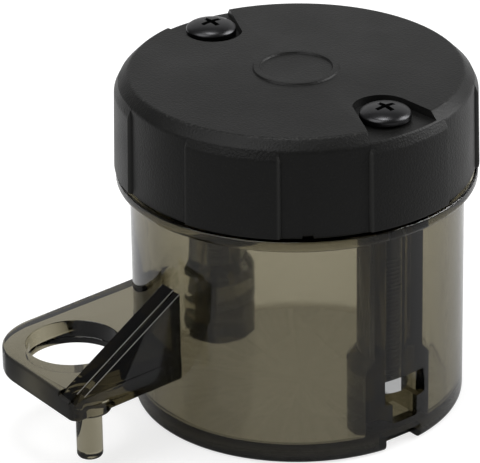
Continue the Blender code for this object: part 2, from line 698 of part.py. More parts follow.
def hex_nut(side, angle, finish):
    """A plain hexagon nut whose flats lie along its slot."""
    across_corners = NUT_FLATS / math.cos(math.pi / 6)
    mesh = bpy.data.meshes.new("hex_nut_" + side)
    shape = bmesh.new()
    bmesh.ops.create_cone(
        shape,
        cap_ends=True,
        segments=6,
        radius1=across_corners / 2,
        radius2=across_corners / 2,
        depth=NUT_HEIGHT,
    )
    # A corner of the hexagon points along +X before the turn, so it ends up pointing outwards.
    corner = max(shape.verts, key=lambda v: v.co.x)
    lead = math.atan2(corner.co.y, corner.co.x)
    bmesh.ops.rotate(shape, verts=shape.verts, matrix=Matrix.Rotation(angle - lead, 3, "Z"))
    shape.to_mesh(mesh)
    shape.free()
    item = place(bpy.data.objects.new("hex_nut_" + side, mesh), PARTS, finish)
    item.location = polar(SCREW_CIRCLE, angle, (NUT_BOTTOM + NUT_TOP) / 2)
    bore = cylinder(side + "_nut_bore", SCREW_HOLE_RADIUS, -NUT_HEIGHT, NUT_HEIGHT, TOOLS, steps=24)
    bore.location = item.location
    cut(item, bore)
    return item


clear_scene()
PARTS = new_collection("brake_fluid_reservoir")
TOOLS = new_collection("construction")
SMOKE = material("smoke_plastic", (0.10, 0.095, 0.085), 0.08, transmission=0.9)
BLACK = material("black_plastic", (0.030, 0.030, 0.029), 0.45)
RUBBER = material("black_rubber", (0.018, 0.018, 0.018), 0.80)
GUNMETAL = material("black_zinc_steel", (0.10, 0.10, 0.10), 0.28, metallic=1.0)
ZINC = material("bright_zinc_steel", (0.75, 0.77, 0.78), 0.25, metallic=1.0)

reservoir_body(SMOKE)
cap(BLACK)
diaphragm(RUBBER)
for side_name, side_angle in SCREW_SIDES:
    cap_screw(side_name, side_angle, GUNMETAL)
    hex_nut(side_name, side_angle, ZINC)
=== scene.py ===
"""Brake fluid reservoir: clear smoke cup with a mounting ear, screwed cap, screws and nuts."""
import math

import bmesh
import bpy
from bpy.props import FloatProperty, FloatVectorProperty, IntProperty, PointerProperty
from mathutils import Matrix, Vector


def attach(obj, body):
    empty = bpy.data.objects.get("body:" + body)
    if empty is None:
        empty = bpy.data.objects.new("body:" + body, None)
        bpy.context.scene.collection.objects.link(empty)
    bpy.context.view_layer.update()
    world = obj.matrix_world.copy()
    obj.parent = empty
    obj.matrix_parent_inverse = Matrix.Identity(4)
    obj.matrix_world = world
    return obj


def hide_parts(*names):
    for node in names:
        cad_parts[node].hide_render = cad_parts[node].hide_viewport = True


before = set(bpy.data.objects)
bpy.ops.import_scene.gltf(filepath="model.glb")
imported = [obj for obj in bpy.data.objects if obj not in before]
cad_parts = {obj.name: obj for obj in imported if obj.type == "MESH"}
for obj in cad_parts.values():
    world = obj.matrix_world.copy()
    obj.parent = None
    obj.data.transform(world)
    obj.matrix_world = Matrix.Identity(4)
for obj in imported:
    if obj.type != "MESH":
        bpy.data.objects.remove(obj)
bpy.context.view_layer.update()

bl_info = {
    "name": "Brake fluid reservoir",
    "version": (1, 0, 0),
    "blender": (4, 5, 0),
    "location": "View3D > Sidebar > Reservoir",
    "description": "Builds the visible pieces, finishes and studio of a brake fluid reservoir",
    "category": "Add Mesh",
}

SENSOR_WIDTH = 36.0
PHOTO_WIDTH = 480
SIDES = ("front", "rear")
FULL_TURN = 2 * math.pi
MERGE = 0.0000005
# Edges that turn by more degrees than this stay sharp
SHARP_ANGLE = 35.0
# How far a cutter reaches past what it cuts
OVERRUN = 0.002
# The share of a tower's width that the web between it and the wall has
WEB_SHARE = 0.98
# Height of the point that the lights look at
LAMP_AIM = 0.03
# Colours of the clear plastic: plain, on a speck of its grain, and the near-black painted shade on
# the ear's end face
CLEAR_TINT = (0.97, 0.97, 0.96)
SPECK_TINT = (0.90, 0.90, 0.88)
END_FACE_SHADE_TINT = (0.02, 0.02, 0.018)
# Colour of the black plastic where an edge is rubbed, and of the painted highlight lines along the
# cap's pad edges
WEAR_AND_HIGHLIGHT_TINT = (0.035, 0.035, 0.033)
# Name, size in m, power in W, azimuth and elevation in degrees, and distance in m of each light
LAMPS = (
    ("key_light", (0.9, 0.9), 5.0, -95.0, 48.0, 1.1),
    ("side_light", (0.7, 0.9), 10.0, 60.0, 30.0, 1.1),
    ("back_light", (2.6, 1.1), 4.1, 138.0, 26.0, 1.6),
    ("top_light", (0.35, 0.35), 2.5, 170.0, 84.0, 1.1),
)


def length(name, description, default):
    return FloatProperty(
        name=name, description=description, default=default, min=0.0, unit="LENGTH", precision=5
    )


def angle(name, description, degrees):
    return FloatProperty(
        name=name, description=description, default=math.radians(degrees), subtype="ANGLE"
    )


def colour(name, description, default):
    return FloatVectorProperty(
        name=name, description=description, default=default, subtype="COLOR", min=0.0, max=1.0
    )


def share(name, description, default):
    return FloatProperty(
        name=name, description=description, default=default, min=0.0, max=1.0, subtype="FACTOR"
    )


class CupSizes(bpy.types.PropertyGroup):
    radius: length("Radius", "Outside radius of the cup's wall", 0.0269)
    wall: length("Wall", "Thickness of the cup's wall", 0.0022)
    floor: length("Floor", "Height of the cup's inner floor", 0.0026)
    base_round: length("Base rounding", "Rounding of the lower outside edge", 0.0012)
    flange_radius: length("Flange radius", "Radius of the flange under the cap", 0.0291)
    flange_low: length("Flange underside", "Height of the flange's underside", 0.0384)
    flange_high: length("Flange top", "Height of the flange's top", 0.0404)
    flange_round: length("Flange rounding", "Rounding of the flange's lower edge", 0.0009)
    neck_radius: length("Neck radius", "Radius of the neck inside the cap", 0.0262)
    neck_top: length("Neck top", "Height of the neck's end", 0.0426)
    tower_top: length("Tower top", "Height of the screw towers", 0.0422)
    tower_radius: length("Tower radius", "Radius of a screw tower", 0.00475)
    pocket_radius: length("Pocket block", "Radius of the block round the nut", 0.0063)
    pocket_top: length("Pocket block top", "Height where the block's shoulder starts", 0.0148)
    shoulder_rise: length("Shoulder", "Height of the block's shoulder", 0.0016)
    shoulder_in: length("Shoulder depth", "How far the shoulder draws in", 0.0013)
    slot_left: length("Nut slot left", "Reach of the nut slot to the screw's left", 0.0039)
    slot_right: length("Nut slot right", "Reach of the nut slot to the screw's right", 0.0044)
    slot_low: length("Nut slot underside", "Lower edge of the nut slot", 0.0082)
    slot_high: length("Nut slot top", "Upper edge of the nut slot", 0.0127)
    slot_step: length("Nut slot step", "Step in the nut slot's right side", 0.0007)
    slot_in: length("Nut slot depth", "Reach of the slot inside the screw's axis", 0.0044)
    tip_left: length("Tip slot left", "Reach of the lower slot to the left", 0.00245)
    tip_right: length("Tip slot right", "Reach of the lower slot to the right", 0.0026)
    tip_low: length("Tip slot underside", "Lower edge of the slot under the nut", 0.0048)
    tip_in: length("Tip slot depth", "Reach of the lower slot inside the axis", 0.0010)
    notch_left: length("Foot notch left", "Reach of the foot notch to the left", 0.0036)
    notch_right: length("Foot notch right", "Reach of the foot notch to the right", 0.0036)
    notch_height: length("Foot notch height", "Height of the notch in the lower edge", 0.0027)
    notch_depth: length("Foot notch depth", "Depth of the notch in the lower edge", 0.0030)
    outlet_angle: angle("Outlet direction", "Direction of the hose outlet from +X", 11.0)
    outlet_height: length("Outlet height", "Height of the hose outlet's axis", 0.0075)
    outlet_length: length("Outlet length", "Length of the hose outlet", 0.0100)
    outlet_radius: length("Outlet radius", "Radius of the hose outlet", 0.0030)
    outlet_barb: length("Outlet barb", "Radius of the outlet's barb", 0.0035)
    outlet_barb_length: length("Barb length", "Length of the outlet's barb", 0.0030)
    outlet_bore: length("Outlet bore", "Radius of the outlet's bore", 0.00175)
    outlet_boss: length("Outlet boss", "Radius of the boss at the outlet's root", 0.0042)
    outlet_boss_length: length("Outlet boss length", "Length of the outlet's boss", 0.0016)
    steps: IntProperty(name="Steps", description="Facets round the cup", default=192, min=24)


class EarSizes(bpy.types.PropertyGroup):
    low: length("Underside", "Height of the ear's underside", 0.0116)
    thickness: length("Thickness", "Thickness of the ear", 0.00405)
    end: length("Reach", "Distance of the ear's end from the cup's axis", 0.04888)
    end_lean: angle("End lean", "How far the end edge leans in towards the far side", 5.0)
    near_edge: length("Near edge", "Distance of the near edge from the cup's axis", 0.0021)
    far_edge: length("Far edge", "Distance of the far edge from the cup's axis", 0.02465)
    far_corner: length("Far corner", "Radius of the far corner", 0.0106)
    near_corner: length("Near corner", "Radius of the near corner", 0.0016)
    edge_round: length("Edge rounding", "Rounding of the ear's edges", 0.0004)
    hole_radius: length("Hole radius", "Radius of the mounting hole", 0.0076)
    hole_step: length("Hole step", "Height of the fine step in the hole's wall", 0.0011)
    hole_out: length("Hole distance", "Distance of the hole along the ear", 0.0363)
    hole_across: length("Hole offset", "Distance of the hole across the ear", 0.0134)
    gusset_top: length("Gusset top", "Height where the gusset meets the cup", 0.0267)
    gusset_out: length("Gusset foot", "Distance of the gusset's foot", 0.0476)
    gusset_low: length("Gusset foot height", "Height of the gusset's foot", 0.0150)
    gusset_setback: length("Setback", "Step between the ear's edge and the gusset", 0.0001)
    gusset_thickness: length("Gusset thickness", "Thickness of the gusset", 0.0042)
    gusset_ledge: length("Gusset ledge", "Width of the lower ledge along the near side", 0.0014)
    gusset_rise: length("Gusset rise", "Rise of the gusset's inner part", 0.0003)
    edge_line: length("Edge line", "Rounding along the gusset's slope", 0.00010)
    pin_out: length("Pin distance", "Distance of the pin along the ear", 0.0434)
    pin_across: length("Pin offset", "Distance of the pin across the ear", 0.0011)
    pin_radius: length("Pin radius", "Radius of the locating pin", 0.0021)
    pin_low: length("Pin end", "Height of the pin's lower end", 0.0028)
    boss_radius: length("Pin boss", "Radius of the boss at the pin's root", 0.0036)
    boss_drop: length("Boss drop", "Drop of the boss under the ear", 0.0004)


class CapSizes(bpy.types.PropertyGroup):
    top: length("Top", "Height of the cap's top face", 0.0570)
    low: length("Lower edge", "Height of the skirt's lower edge", 0.0407)
    ledge: length("Ledge", "Height of the inner ledge on the diaphragm", 0.0444)
    ceiling: length("Ceiling", "Height of the cap's inner top", 0.0546)
    radius: length("Radius", "Radius of the cap's upper edge between its pads", 0.0284)
    foot: length("Foot radius", "Radius of the skirt's lower edge between the pads", 0.0287)
    chamfer: length("Chamfer", "Width of the chamfer round the top", 0.0017)
    bore: length("Bore", "Inner radius of the skirt", 0.0265)
    inner_bore: length("Inner bore", "Inner radius above the ledge", 0.0250)
    pads: IntProperty(name="Pads", description="Grip pads round the skirt", default=6, min=1)
    pad_spread: angle("Pad spread", "Angle that one pad covers", 33.0)
    pad_height: length("Pad height", "How far a pad stands out", 0.0006)
    pad_ease: length("Pad ease", "Width of a pad's rising sides", 0.0005)
    recess_radius: length("Recess", "Radius of the well for a screw head", 0.00465)
    recess_in: length("Recess inset", "How far the well's centre lies inside the screw", 0.0016)
    recess_aside: length("Recess offset", "How far the well's centre lies aside", 0.0007)
    mouth_out: length("Mouth reach", "Distance of the recess mouth from the screw", 0.0080)
    mouth_left: length("Mouth left", "Reach of the recess mouth to the left", 0.0088)
    mouth_right: length("Mouth right", "Reach of the recess mouth to the right", 0.0059)
    recess_depth: length("Recess depth", "Depth of the recess for a screw head", 0.0013)
    boss_radius: length("Boss", "Radius of the inner screw bosses", 0.0044)
    hole_radius: length("Screw hole", "Radius of the screw holes", 0.0023)
    ring_radius: length("Centre ring", "Radius of the plain ring round the centre", 0.0063)
    ring_width: length("Ring width", "Width of the centre ring", 0.0009)
    ring_height: length("Ring height", "How far the centre ring stands up", 0.0003)
    vent_angle: angle("Vent", "Direction of the vent notch from +X", -128.5)
    vent_width: length("Vent width", "Width of the vent notch", 0.0018)
    vent_height: length("Vent height", "Height of the vent notch", 0.0008)
    vent_depth: length("Vent depth", "Depth of the vent notch in the skirt", 0.0012)
    steps: IntProperty(name="Steps", description="Facets round the cap", default=192, min=24)


class ScrewSizes(bpy.types.PropertyGroup):
    line_angle: angle("Screw line", "Direction of the front screw from +X", -92.9)
    distance: length("Distance", "Distance of a screw from the cup's axis", 0.0219)
    radius: length("Shank radius", "Radius of the thread's crests", 0.0020)
    root_radius: length("Root radius", "Radius of the thread's root", 0.00182)
    pitch: length("Pitch", "Rise of the thread in one turn", 0.0007)
    threaded: length("Threaded length", "Length of the threaded part", 0.0260)
    shank: length("Length", "Length under the head", 0.0480)
    seat: length("Seat", "Height of the head's underside", 0.0560)
    head_radius: length("Head radius", "Radius of the head", 0.0041)
    head_height: length("Head height", "Height of the head", 0.00196)
    head_rim: length("Head rim", "Height of the head's straight rim", 0.0007)
    drive_span: length("Cross span", "Width across the cross recess", 0.0044)
    drive_width: length("Cross wing", "Width of one wing of the recess", 0.0009)
    drive_depth: length("Cross depth", "Depth of the cross recess", 0.0015)
    nut_flats: length("Nut flats", "Width of a nut across its flats", 0.0070)
    nut_low: length("Nut underside", "Height of a nut's underside", 0.0092)
    nut_high: length("Nut top", "Height of a nut's top", 0.0124)


class DiaphragmSizes(bpy.types.PropertyGroup):
    low: length("Rim underside", "Height of the rim's underside", 0.0429)
    rim: length("Rim thickness", "Thickness of the clamped rim", 0.0012)
    rim_radius: length("Rim radius", "Radius of the clamped rim", 0.0259)
    wall: length("Wall", "Thickness of the rubber", 0.0010)
    outer: length("Bellows radius", "Radius of the bellows at its folds' middle line", 0.0164)
    fold: length("Fold depth", "Half the depth of a fold", 0.0017)
    folds: IntProperty(name="Folds", description="Folds of the bellows", default=2, min=1)
    crown: length("Crown", "Height of the crown's middle line", 0.0530)


class Finishes(bpy.types.PropertyGroup):
    smoke_passes: colour("Smoke tint", "What the smoke plastic lets through", (0.32, 0.28, 0.13))
    smoke_density: FloatProperty(
        name="Smoke density", description="Absorption per metre", default=550.0, min=0.0
    )
    end_roughness: share("Ear end", "Roughness of the ear's end face", 0.60)
    # Painted shade: how far the ear's end face is darkened towards a near-black tint
    end_tint: share("Ear end tint", "How much darker the ear's end face is", 0.85)
    # Painted highlight on the gusset's rounded sloping edges
    edge_colour: colour("Rubbed edges", "Clear plastic on a rubbed edge", (0.30, 0.285, 0.265))
    cap_colour: colour("Cap", "Black moulded plastic", (0.008, 0.008, 0.0076))
    cap_roughness: share("Cap roughness", "Roughness of the cap's grain", 0.42)
    rubber_colour: colour("Rubber", "Black rubber", (0.012, 0.012, 0.012))
    screw_colour: colour("Screws", "Black zinc plated steel", (0.075, 0.075, 0.078))
    nut_colour: colour("Nuts", "Bright zinc plated steel", (0.95, 0.96, 0.96))


class StageSettings(bpy.types.PropertyGroup):
    azimuth: angle("Azimuth", "Direction of the camera", -41.8)
    elevation: angle("Elevation", "Height angle of the camera", 26.13)
    roll: angle("Roll", "Tilt of the camera about its view", -0.48)
    distance: length("Distance", "Distance from the camera to the aim point", 0.640)
    aim_height: length("Aim height", "Height of the aim point", 0.027)
    focal_pixels: FloatProperty(
        name="Focal length", description="Focal length in photo pixels", default=3951.0
    )
    aim_x: FloatProperty(name="Aim X", description="Photo column of the aim point", default=297.5)
    aim_y: FloatProperty(name="Aim Y", description="Photo row of the aim point", default=237.7)
    photo_height: IntProperty(name="Rows", description="Height of the photo", default=463)
    floor_size: length("Floor", "Width of the floor", 6.0)
    floor_colour: colour("Floor colour", "Pale floor", (0.42, 0.42, 0.42))
    floor_lift: share("Floor lift", "What the floor adds where it is looked at", 0.72)
    floor_depth: share("Floor depth", "Share of the floor's colour that a reflection meets", 0.85)
    floor_gloss: share("Floor gloss", "What the floor behind adds to a reflection", 0.60)
    soft_level: share("World light", "Level of the world where it lights a surface", 0.45)
    gloss_level: share("World gloss", "Level of the world where a reflection meets it", 0.15)


class ReservoirSettings(bpy.types.PropertyGroup):
    cup: PointerProperty(type=CupSizes)
    ear: PointerProperty(type=EarSizes)
    cap: PointerProperty(type=CapSizes)
    screw: PointerProperty(type=ScrewSizes)
    diaphragm: PointerProperty(type=DiaphragmSizes)
    finish: PointerProperty(type=Finishes)
    stage: PointerProperty(type=StageSettings)


# Shapes


def polar(radius, turn, height=0.0):
    return Vector((radius * math.cos(turn), radius * math.sin(turn), height))


def rounded(corners, segments=4):
    """A profile through corners given as (r, z) or, with a rounding, (r, z, radius)."""
    points = []
    last = len(corners) - 1
    for i, corner in enumerate(corners):
        here = Vector(corner[:2])
        if len(corner) < 3 or i in (0, last):
            points.append(here)
            continue
        back = (Vector(corners[i - 1][:2]) - here).normalized()
        ahead = (Vector(corners[i + 1][:2]) - here).normalized()
        half = back.angle(ahead) / 2
        run = corner[2] / math.tan(half)
        centre = here + (back + ahead).normalized() * corner[2] / math.sin(half)
        start = here + back * run - centre
        end = here + ahead * run - centre
        swing = start.angle_signed(end)
        for k in range(segments + 1):
            points.append(centre + Matrix.Rotation(-swing * k / segments, 2) @ start)
    return points


def rotate(shape, turn):
    bmesh.ops.rotate(shape, verts=shape.verts, matrix=Matrix.Rotation(turn, 3, "Z"))


def move(shape, way):
    bmesh.ops.translate(shape, verts=shape.verts, vec=way)


def lathe(profile, steps):
    """A closed shape turned about Z from a profile of (r, z) points."""
    shape = bmesh.new()
    verts = [shape.verts.new((r, 0.0, z)) for r, z in profile]
    edges = [shape.edges.new(pair) for pair in zip(verts, verts[1:])]
    bmesh.ops.spin(
        shape,
        geom=verts + edges,
        cent=(0, 0, 0),
        axis=(0, 0, 1),
        angle=FULL_TURN,
        steps=steps,
        use_merge=True,
    )
    bmesh.ops.remove_doubles(shape, verts=shape.verts, dist=MERGE)
    bmesh.ops.recalc_face_normals(shape, faces=shape.faces)
    return shape


def sweep(section, angle, steps, start=0.0, rise=0.0):
    """A section of (r, z) points turned about Z from a start angle, and raised at each step."""
    shape = bmesh.new()
    face = shape.faces.new([shape.verts.new((r, 0.0, z)) for r, z in section])
    rotate(shape, start)
    bmesh.ops.spin(
        shape,
        geom=[face] + face.edges[:] + face.verts[:],
        cent=(0, 0, 0),
        axis=(0, 0, 1),
        dvec=(0, 0, rise),
        angle=angle,
        steps=steps,
    )
    bmesh.ops.recalc_face_normals(shape, faces=shape.faces)
    return shape


def drum(radius, low, high, at=(0.0, 0.0), steps=64):
    shape = bmesh.new()
    bmesh.ops.create_cone(
        shape, cap_ends=True, segments=steps, radius1=radius, radius2=radius, depth=high - low
    )
    move(shape, (at[0], at[1], (low + high) / 2))
    return shape


def box(low, high, turn=0.0):
    shape = bmesh.new()
    bmesh.ops.create_cube(shape, size=1.0)
    low, high = Vector(low), Vector(high)
    bmesh.ops.scale(shape, verts=shape.verts, vec=high - low)
    move(shape, (low + high) / 2)
    rotate(shape, turn)
    return shape


def slab(outline, start, end, upright=False):
    """An outline in XY drawn out along Z, or in XZ drawn out along Y when upright."""
    shape = bmesh.new()
    if upright:
        corners = [(x, start, z) for x, z in outline]
        step = Vector((0, end - start, 0))
    else:
        corners = [(x, y, start) for x, y in outline]
        step = Vector((0, 0, end - start))
    base = shape.faces.new([shape.verts.new(corner) for corner in corners])
    drawn = bmesh.ops.extrude_face_region(shape, geom=[base])["geom"]
    moved = [item for item in drawn if isinstance(item, bmesh.types.BMVert)]
    bmesh.ops.translate(shape, verts=moved, vec=step)
    bmesh.ops.recalc_face_normals(shape, faces=shape.faces)
    return shape


def round_edges(shape, width, wanted):
    edges = [edge for edge in shape.edges if wanted(edge)]
    bmesh.ops.bevel(
        shape,
        geom=edges,
        offset=width,
        offset_type="OFFSET",
        segments=3,
        profile=0.5,
        affect="EDGES",
        material=-1,
        clamp_overlap=True,
    )
    return shape


def arc(centre, radius, start, end, steps):
    """Points on a circle from one angle in degrees to another."""
    points = []
    for i in range(steps + 1):
        turn = math.radians(start + (end - start) * i / steps)
        points.append((centre[0] + radius * math.cos(turn), centre[1] + radius * math.sin(turn)))
    return points


def linked(name, data):
    item = bpy.data.objects.new(name, data)
    bpy.context.scene.collection.objects.link(item)
    return item


def as_mesh(name, shape):
    mesh = bpy.data.meshes.new(name)
    shape.to_mesh(mesh)
    shape.free()
    return mesh


def solid(name, shape):
    return linked(name, as_mesh(name, shape))


def shaped(item, *steps):
    """Joins, cuts or crosses an object with shapes in turn and keeps the result as its mesh."""
    for operation, shape in steps:
        tool = solid(item.name + "_tool", shape)
        change = item.modifiers.new("Change", "BOOLEAN")
        change.operation = operation
        change.solver = "MANIFOLD"
        change.object = tool
        graph = bpy.context.evaluated_depsgraph_get()
        mesh = bpy.data.meshes.new_from_object(item.evaluated_get(graph))
        item.modifiers.clear()
        spent = item.data
        item.data = mesh
        bpy.data.meshes.remove(spent)
        spent = tool.data
        bpy.data.objects.remove(tool)
        bpy.data.meshes.remove(spent)
    if not item.data.polygons:
        raise RuntimeError(item.name + " has lost its shape")
    return item


def as_shape(item):
    """Takes an object's mesh back out as a shape and removes the object."""
    shape = bmesh.new()
    shape.from_mesh(item.data)
    spent = item.data
    bpy.data.objects.remove(item)
    bpy.data.meshes.remove(spent)
    return shape


def finished(item, name, body, material, nodes):
    """Names a piece, smooths it up to its sharp edges, dresses it and ties it to its body."""
    item.name = name
    item.data.name = name
    item.data.shade_smooth()
    item.data.set_sharp_from_angle(angle=math.radians(SHARP_ANGLE))
    item.data.materials.clear()
    item.data.materials.append(material)
    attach(item, body)
    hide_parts(*nodes)
    return item


# Materials


def add(tree, kind, at=(0, 0), inputs=None, **values):
    """A node with its attributes as keywords and its inputs' values in a dictionary."""
    made = tree.nodes.new(kind if kind.startswith("NodeGroup") else "ShaderNode" + kind)
    made.location = at
    for key, value in values.items():
        setattr(made, key, value)
    for key, value in (inputs or {}).items():
        made.inputs[key].default_value = value
    return made


def wire(tree, *links):
    """Joins nodes by links given as (source, its output, target, its input)."""
    for source, out, target, into in links:
        tree.links.new(source.outputs[out], target.inputs[into])


def new_tree(name, inputs=None):
    """A material with its node tree, its shader and its output."""
    material = bpy.data.materials.new(name)
    material.use_nodes = True
    tree = material.node_tree
    tree.nodes.clear()
    output = add(tree, "OutputMaterial", (900, 0))
    shader = add(tree, "BsdfPrincipled", (600, 0), inputs)
    wire(tree, (shader, "BSDF", output, "Surface"))
    return material, tree, shader, output


def group_tree(name, numbers, results):
    """A node group that reads coordinates and numbers, with its two end nodes."""
    tree = bpy.data.node_groups.new(name, "ShaderNodeTree")
    sockets = tree.interface
    sockets.new_socket(name="Coordinates", in_out="INPUT", socket_type="NodeSocketVector")
    for label, value in numbers.items():
        socket = sockets.new_socket(name=label, in_out="INPUT", socket_type="NodeSocketFloat")
        socket.default_value = value
    for label in results:
        sockets.new_socket(name=label, in_out="OUTPUT", socket_type="NodeSocketFloat")
    return tree, add(tree, "NodeGroupInput", (-1100, 0)), add(tree, "NodeGroupOutput", (900, 0))


def placed_group(tree, build, place, at, inputs):
    """A node group on the coordinates of a place, built when it is first asked for."""
    group = bpy.data.node_groups.get(build.__name__) or build()
    node = add(tree, "Group", at, inputs, node_tree=group)
    wire(tree, (*place, node, "Coordinates"))
    return node


def moulded_grain():
    """Fine spark-eroded grain: a height, a mask of specks and broad clouds."""
    numbers = {"Scale": 2600.0, "Cloud Scale": 120.0}
    tree, source, target = group_tree("moulded_grain", numbers, ("Height", "Speckle", "Cloud"))
    fine = add(tree, "TexNoise", (-500, 200), {"Detail": 3.0, "Roughness": 0.6})
    cells = add(tree, "TexVoronoi", (-500, -100))
    cloud = add(tree, "TexNoise", (-500, -400), {"Detail": 4.0})
    blend = add(tree, "Math", (-200, 100), {1: 0.6}, operation="MULTIPLY_ADD")
    speck = add(tree, "MapRange", (-200, -150), {"From Min": 0.58, "From Max": 0.78})
    wire(
        tree,
        *[(source, "Coordinates", texture, "Vector") for texture in (fine, cells, cloud)],
        (source, "Scale", fine, "Scale"),
        (source, "Scale", cells, "Scale"),
        (source, "Cloud Scale", cloud, "Scale"),
        (cells, "Distance", blend, 0),
        (fine, "Fac", blend, 2),
        (fine, "Fac", speck, "Value"),
        (blend, "Value", target, "Height"),
        (speck, "Result", target, "Speckle"),
        (cloud, "Fac", target, "Cloud"),
    )
    return tree


def axis_distance(tree, parts, at):
    """The distance from the Z axis of a point given by its parts."""
    flat = add(tree, "CombineXYZ", at)
    radius = add(tree, "VectorMath", (at[0] + 200, at[1]), operation="LENGTH")
    wire(tree, (parts, "X", flat, "X"), (parts, "Y", flat, "Y"), (flat, "Vector", radius, 0))
    return radius


def ring_wear():
    """A broken line of wear round the Z axis, at one radius and height."""
    numbers = {"Radius": 0.0267, "Height": 0.0570, "Width": 0.0005, "Break Scale": 2400.0}
    tree, source, target = group_tree("ring_wear", numbers, ("Mask",))
    parts = add(tree, "SeparateXYZ", (-900, 200))
    radius = axis_distance(tree, parts, (-700, 250))
    off_radius = add(tree, "Math", (-300, 250), operation="SUBTRACT")
    off_height = add(tree, "Math", (-300, 50), operation="SUBTRACT")
    away = add(tree, "CombineXYZ", (-100, 150))
    distance = add(tree, "VectorMath", (50, 150), operation="LENGTH")
    near = add(tree, "MapRange", (250, 150), {"To Min": 1.0, "To Max": 0.0})
    breaks = add(tree, "TexNoise", (-500, -200), {"Detail": 5.0})
    gate = add(tree, "MapRange", (-100, -200), {"From Min": 0.50, "From Max": 0.68})
    both = add(tree, "Math", (450, 0), operation="MULTIPLY")
    wire(
        tree,
        (source, "Coordinates", parts, 0),
        (source, "Coordinates", breaks, "Vector"),
        (source, "Break Scale", breaks, "Scale"),
        (radius, "Value", off_radius, 0),
        (source, "Radius", off_radius, 1),
        (parts, "Z", off_height, 0),
        (source, "Height", off_height, 1),
        (off_radius, "Value", away, "X"),
        (off_height, "Value", away, "Y"),
        (away, "Vector", distance, 0),
        (distance, "Value", near, "Value"),
        (source, "Width", near, "From Max"),
        (breaks, "Fac", gate, "Value"),
        (near, "Result", both, 0),
        (gate, "Result", both, 1),
        (both, "Value", target, "Mask"),
    )
    return tree


def pad_edge_highlight():
    """A mask of painted highlight lines along the upright edges of evenly spaced pads round the Z
    axis.
    """
    numbers = {"Line Angle": 0.0, "Half Pitch": 0.52, "Half Spread": 0.28}
    numbers |= {"Width": 0.015, "Radius": 0.0285}
    tree, source, target = group_tree("pad_edge_highlight", numbers, ("Mask",))
    parts = add(tree, "SeparateXYZ", (-900, 200))
    radius = axis_distance(tree, parts, (-700, -200))
    turn = add(tree, "Math", (-700, 200), operation="ARCTAN2")
    swing = add(tree, "Math", (-500, 200), operation="SUBTRACT")
    fold = add(tree, "Math", (-300, 200), operation="PINGPONG")
    off = add(tree, "Math", (-100, 200), operation="SUBTRACT")
    away = add(tree, "Math", (100, 200), operation="ABSOLUTE")
    ends = {"To Min": 1.0, "To Max": 0.0}
    near = add(tree, "MapRange", (300, 200), ends, interpolation_type="SMOOTHSTEP")
    outside = add(tree, "Math", (-300, -200), operation="GREATER_THAN")
    both = add(tree, "Math", (600, 0), operation="MULTIPLY")
    wire(
        tree,
        (source, "Coordinates", parts, 0),
        (parts, "Y", turn, 0),
        (parts, "X", turn, 1),
        (turn, "Value", swing, 0),
        (source, "Line Angle", swing, 1),
        (swing, "Value", fold, 0),
        (source, "Half Pitch", fold, 1),
        (fold, "Value", off, 0),
        (source, "Half Spread", off, 1),
        (off, "Value", away, 0),
        (away, "Value", near, "Value"),
        (source, "Width", near, "From Max"),
        (radius, "Value", outside, 0),
        (source, "Radius", outside, 1),
        (near, "Result", both, 0),
        (outside, "Value", both, 1),
        (both, "Value", target, "Mask"),
    )
    return tree


def shaded(base, part):
    return [min(1.0, value * part) for value in base]


def bumped(tree, shader, height, strength, distance):
    bump = add(tree, "Bump", (350, -300), {"Strength": strength, "Distance": distance})
    wire(tree, (*height, bump, "Height"), (bump, "Normal", shader, "Normal"))


def mixed(tree, factor, first, second, at=(300, 200)):
    """A mix of two colours by a factor given as (node, output)."""
    mix = add(tree, "Mix", at, data_type="RGBA")
    mix.inputs[6].default_value = (*first, 1.0)
    mix.inputs[7].default_value = (*second, 1.0)
    wire(tree, (*factor, mix, "Factor"))
    return mix


def ranged(tree, value, low, high, at=(300, 0), start=0.0, end=1.0):
    """A value given as (node, output), spread from one range to another."""
    ends = {"From Min": start, "From Max": end, "To Min": low, "To Max": high}
    spread = add(tree, "MapRange", at, ends)
    wire(tree, (*value, spread, "Value"))
    return spread


def smoke_plastic(finish, ear):
    """Clear smoke-tinted plastic that absorbs light over its thickness, rough at the ear's end,
    where painted shade also darkens it.
    """
    clear = {"Transmission Weight": 1.0, "IOR": 1.52}
    material, tree, shader, output = new_tree("smoke_plastic", clear)
    place = add(tree, "TexCoord", (-900, 0)), "Object"
    scales = {"Scale": 700.0, "Cloud Scale": 55.0}
    grain = placed_group(tree, moulded_grain, place, (-600, 0), scales)
    tint = mixed(tree, (grain, "Speckle"), CLEAR_TINT, SPECK_TINT)
    rough = ranged(tree, (grain, "Cloud"), 0.015, 0.06)
    lean = ear.end_lean
    outwards = {1: (-math.cos(lean), math.sin(lean), 0.0)}
    out = add(tree, "VectorMath", (-600, -300), outwards, operation="DOT_PRODUCT")
    reach = ear.end * math.cos(lean) - ear.near_edge * math.sin(lean)
    near_end = reach - 0.0007, reach - 0.0003
    band = ranged(tree, (out, "Value"), 0.0, finish.end_roughness, (-300, -300), *near_end)
    # Painted shade: the ear's end face is darkened towards a near-black tint
    dark = ranged(tree, (out, "Value"), 0.0, finish.end_tint, (-300, -500), *near_end)
    end_face_shade_mix = add(tree, "Mix", (450, 200), data_type="RGBA")
    end_face_shade_mix.inputs[7].default_value = (*END_FACE_SHADE_TINT, 1.0)
    both = add(tree, "Math", (450, -100), operation="MAXIMUM")
    soak = add(tree, "VolumeAbsorption", (600, -500), {"Density": finish.smoke_density})
    soak.inputs["Color"].default_value = (*finish.smoke_passes, 1.0)
    wire(
        tree,
        (*place, out, 0),
        (dark, "Result", end_face_shade_mix, "Factor"),
        (tint, 2, end_face_shade_mix, 6),
        (end_face_shade_mix, 2, shader, "Base Color"),
        (rough, "Result", both, 0),
        (band, "Result", both, 1),
        (both, "Value", shader, "Roughness"),
        (soak, "Volume", output, "Volume"),
    )
    bumped(tree, shader, (grain, "Cloud"), 0.12, 0.0008)
    return material


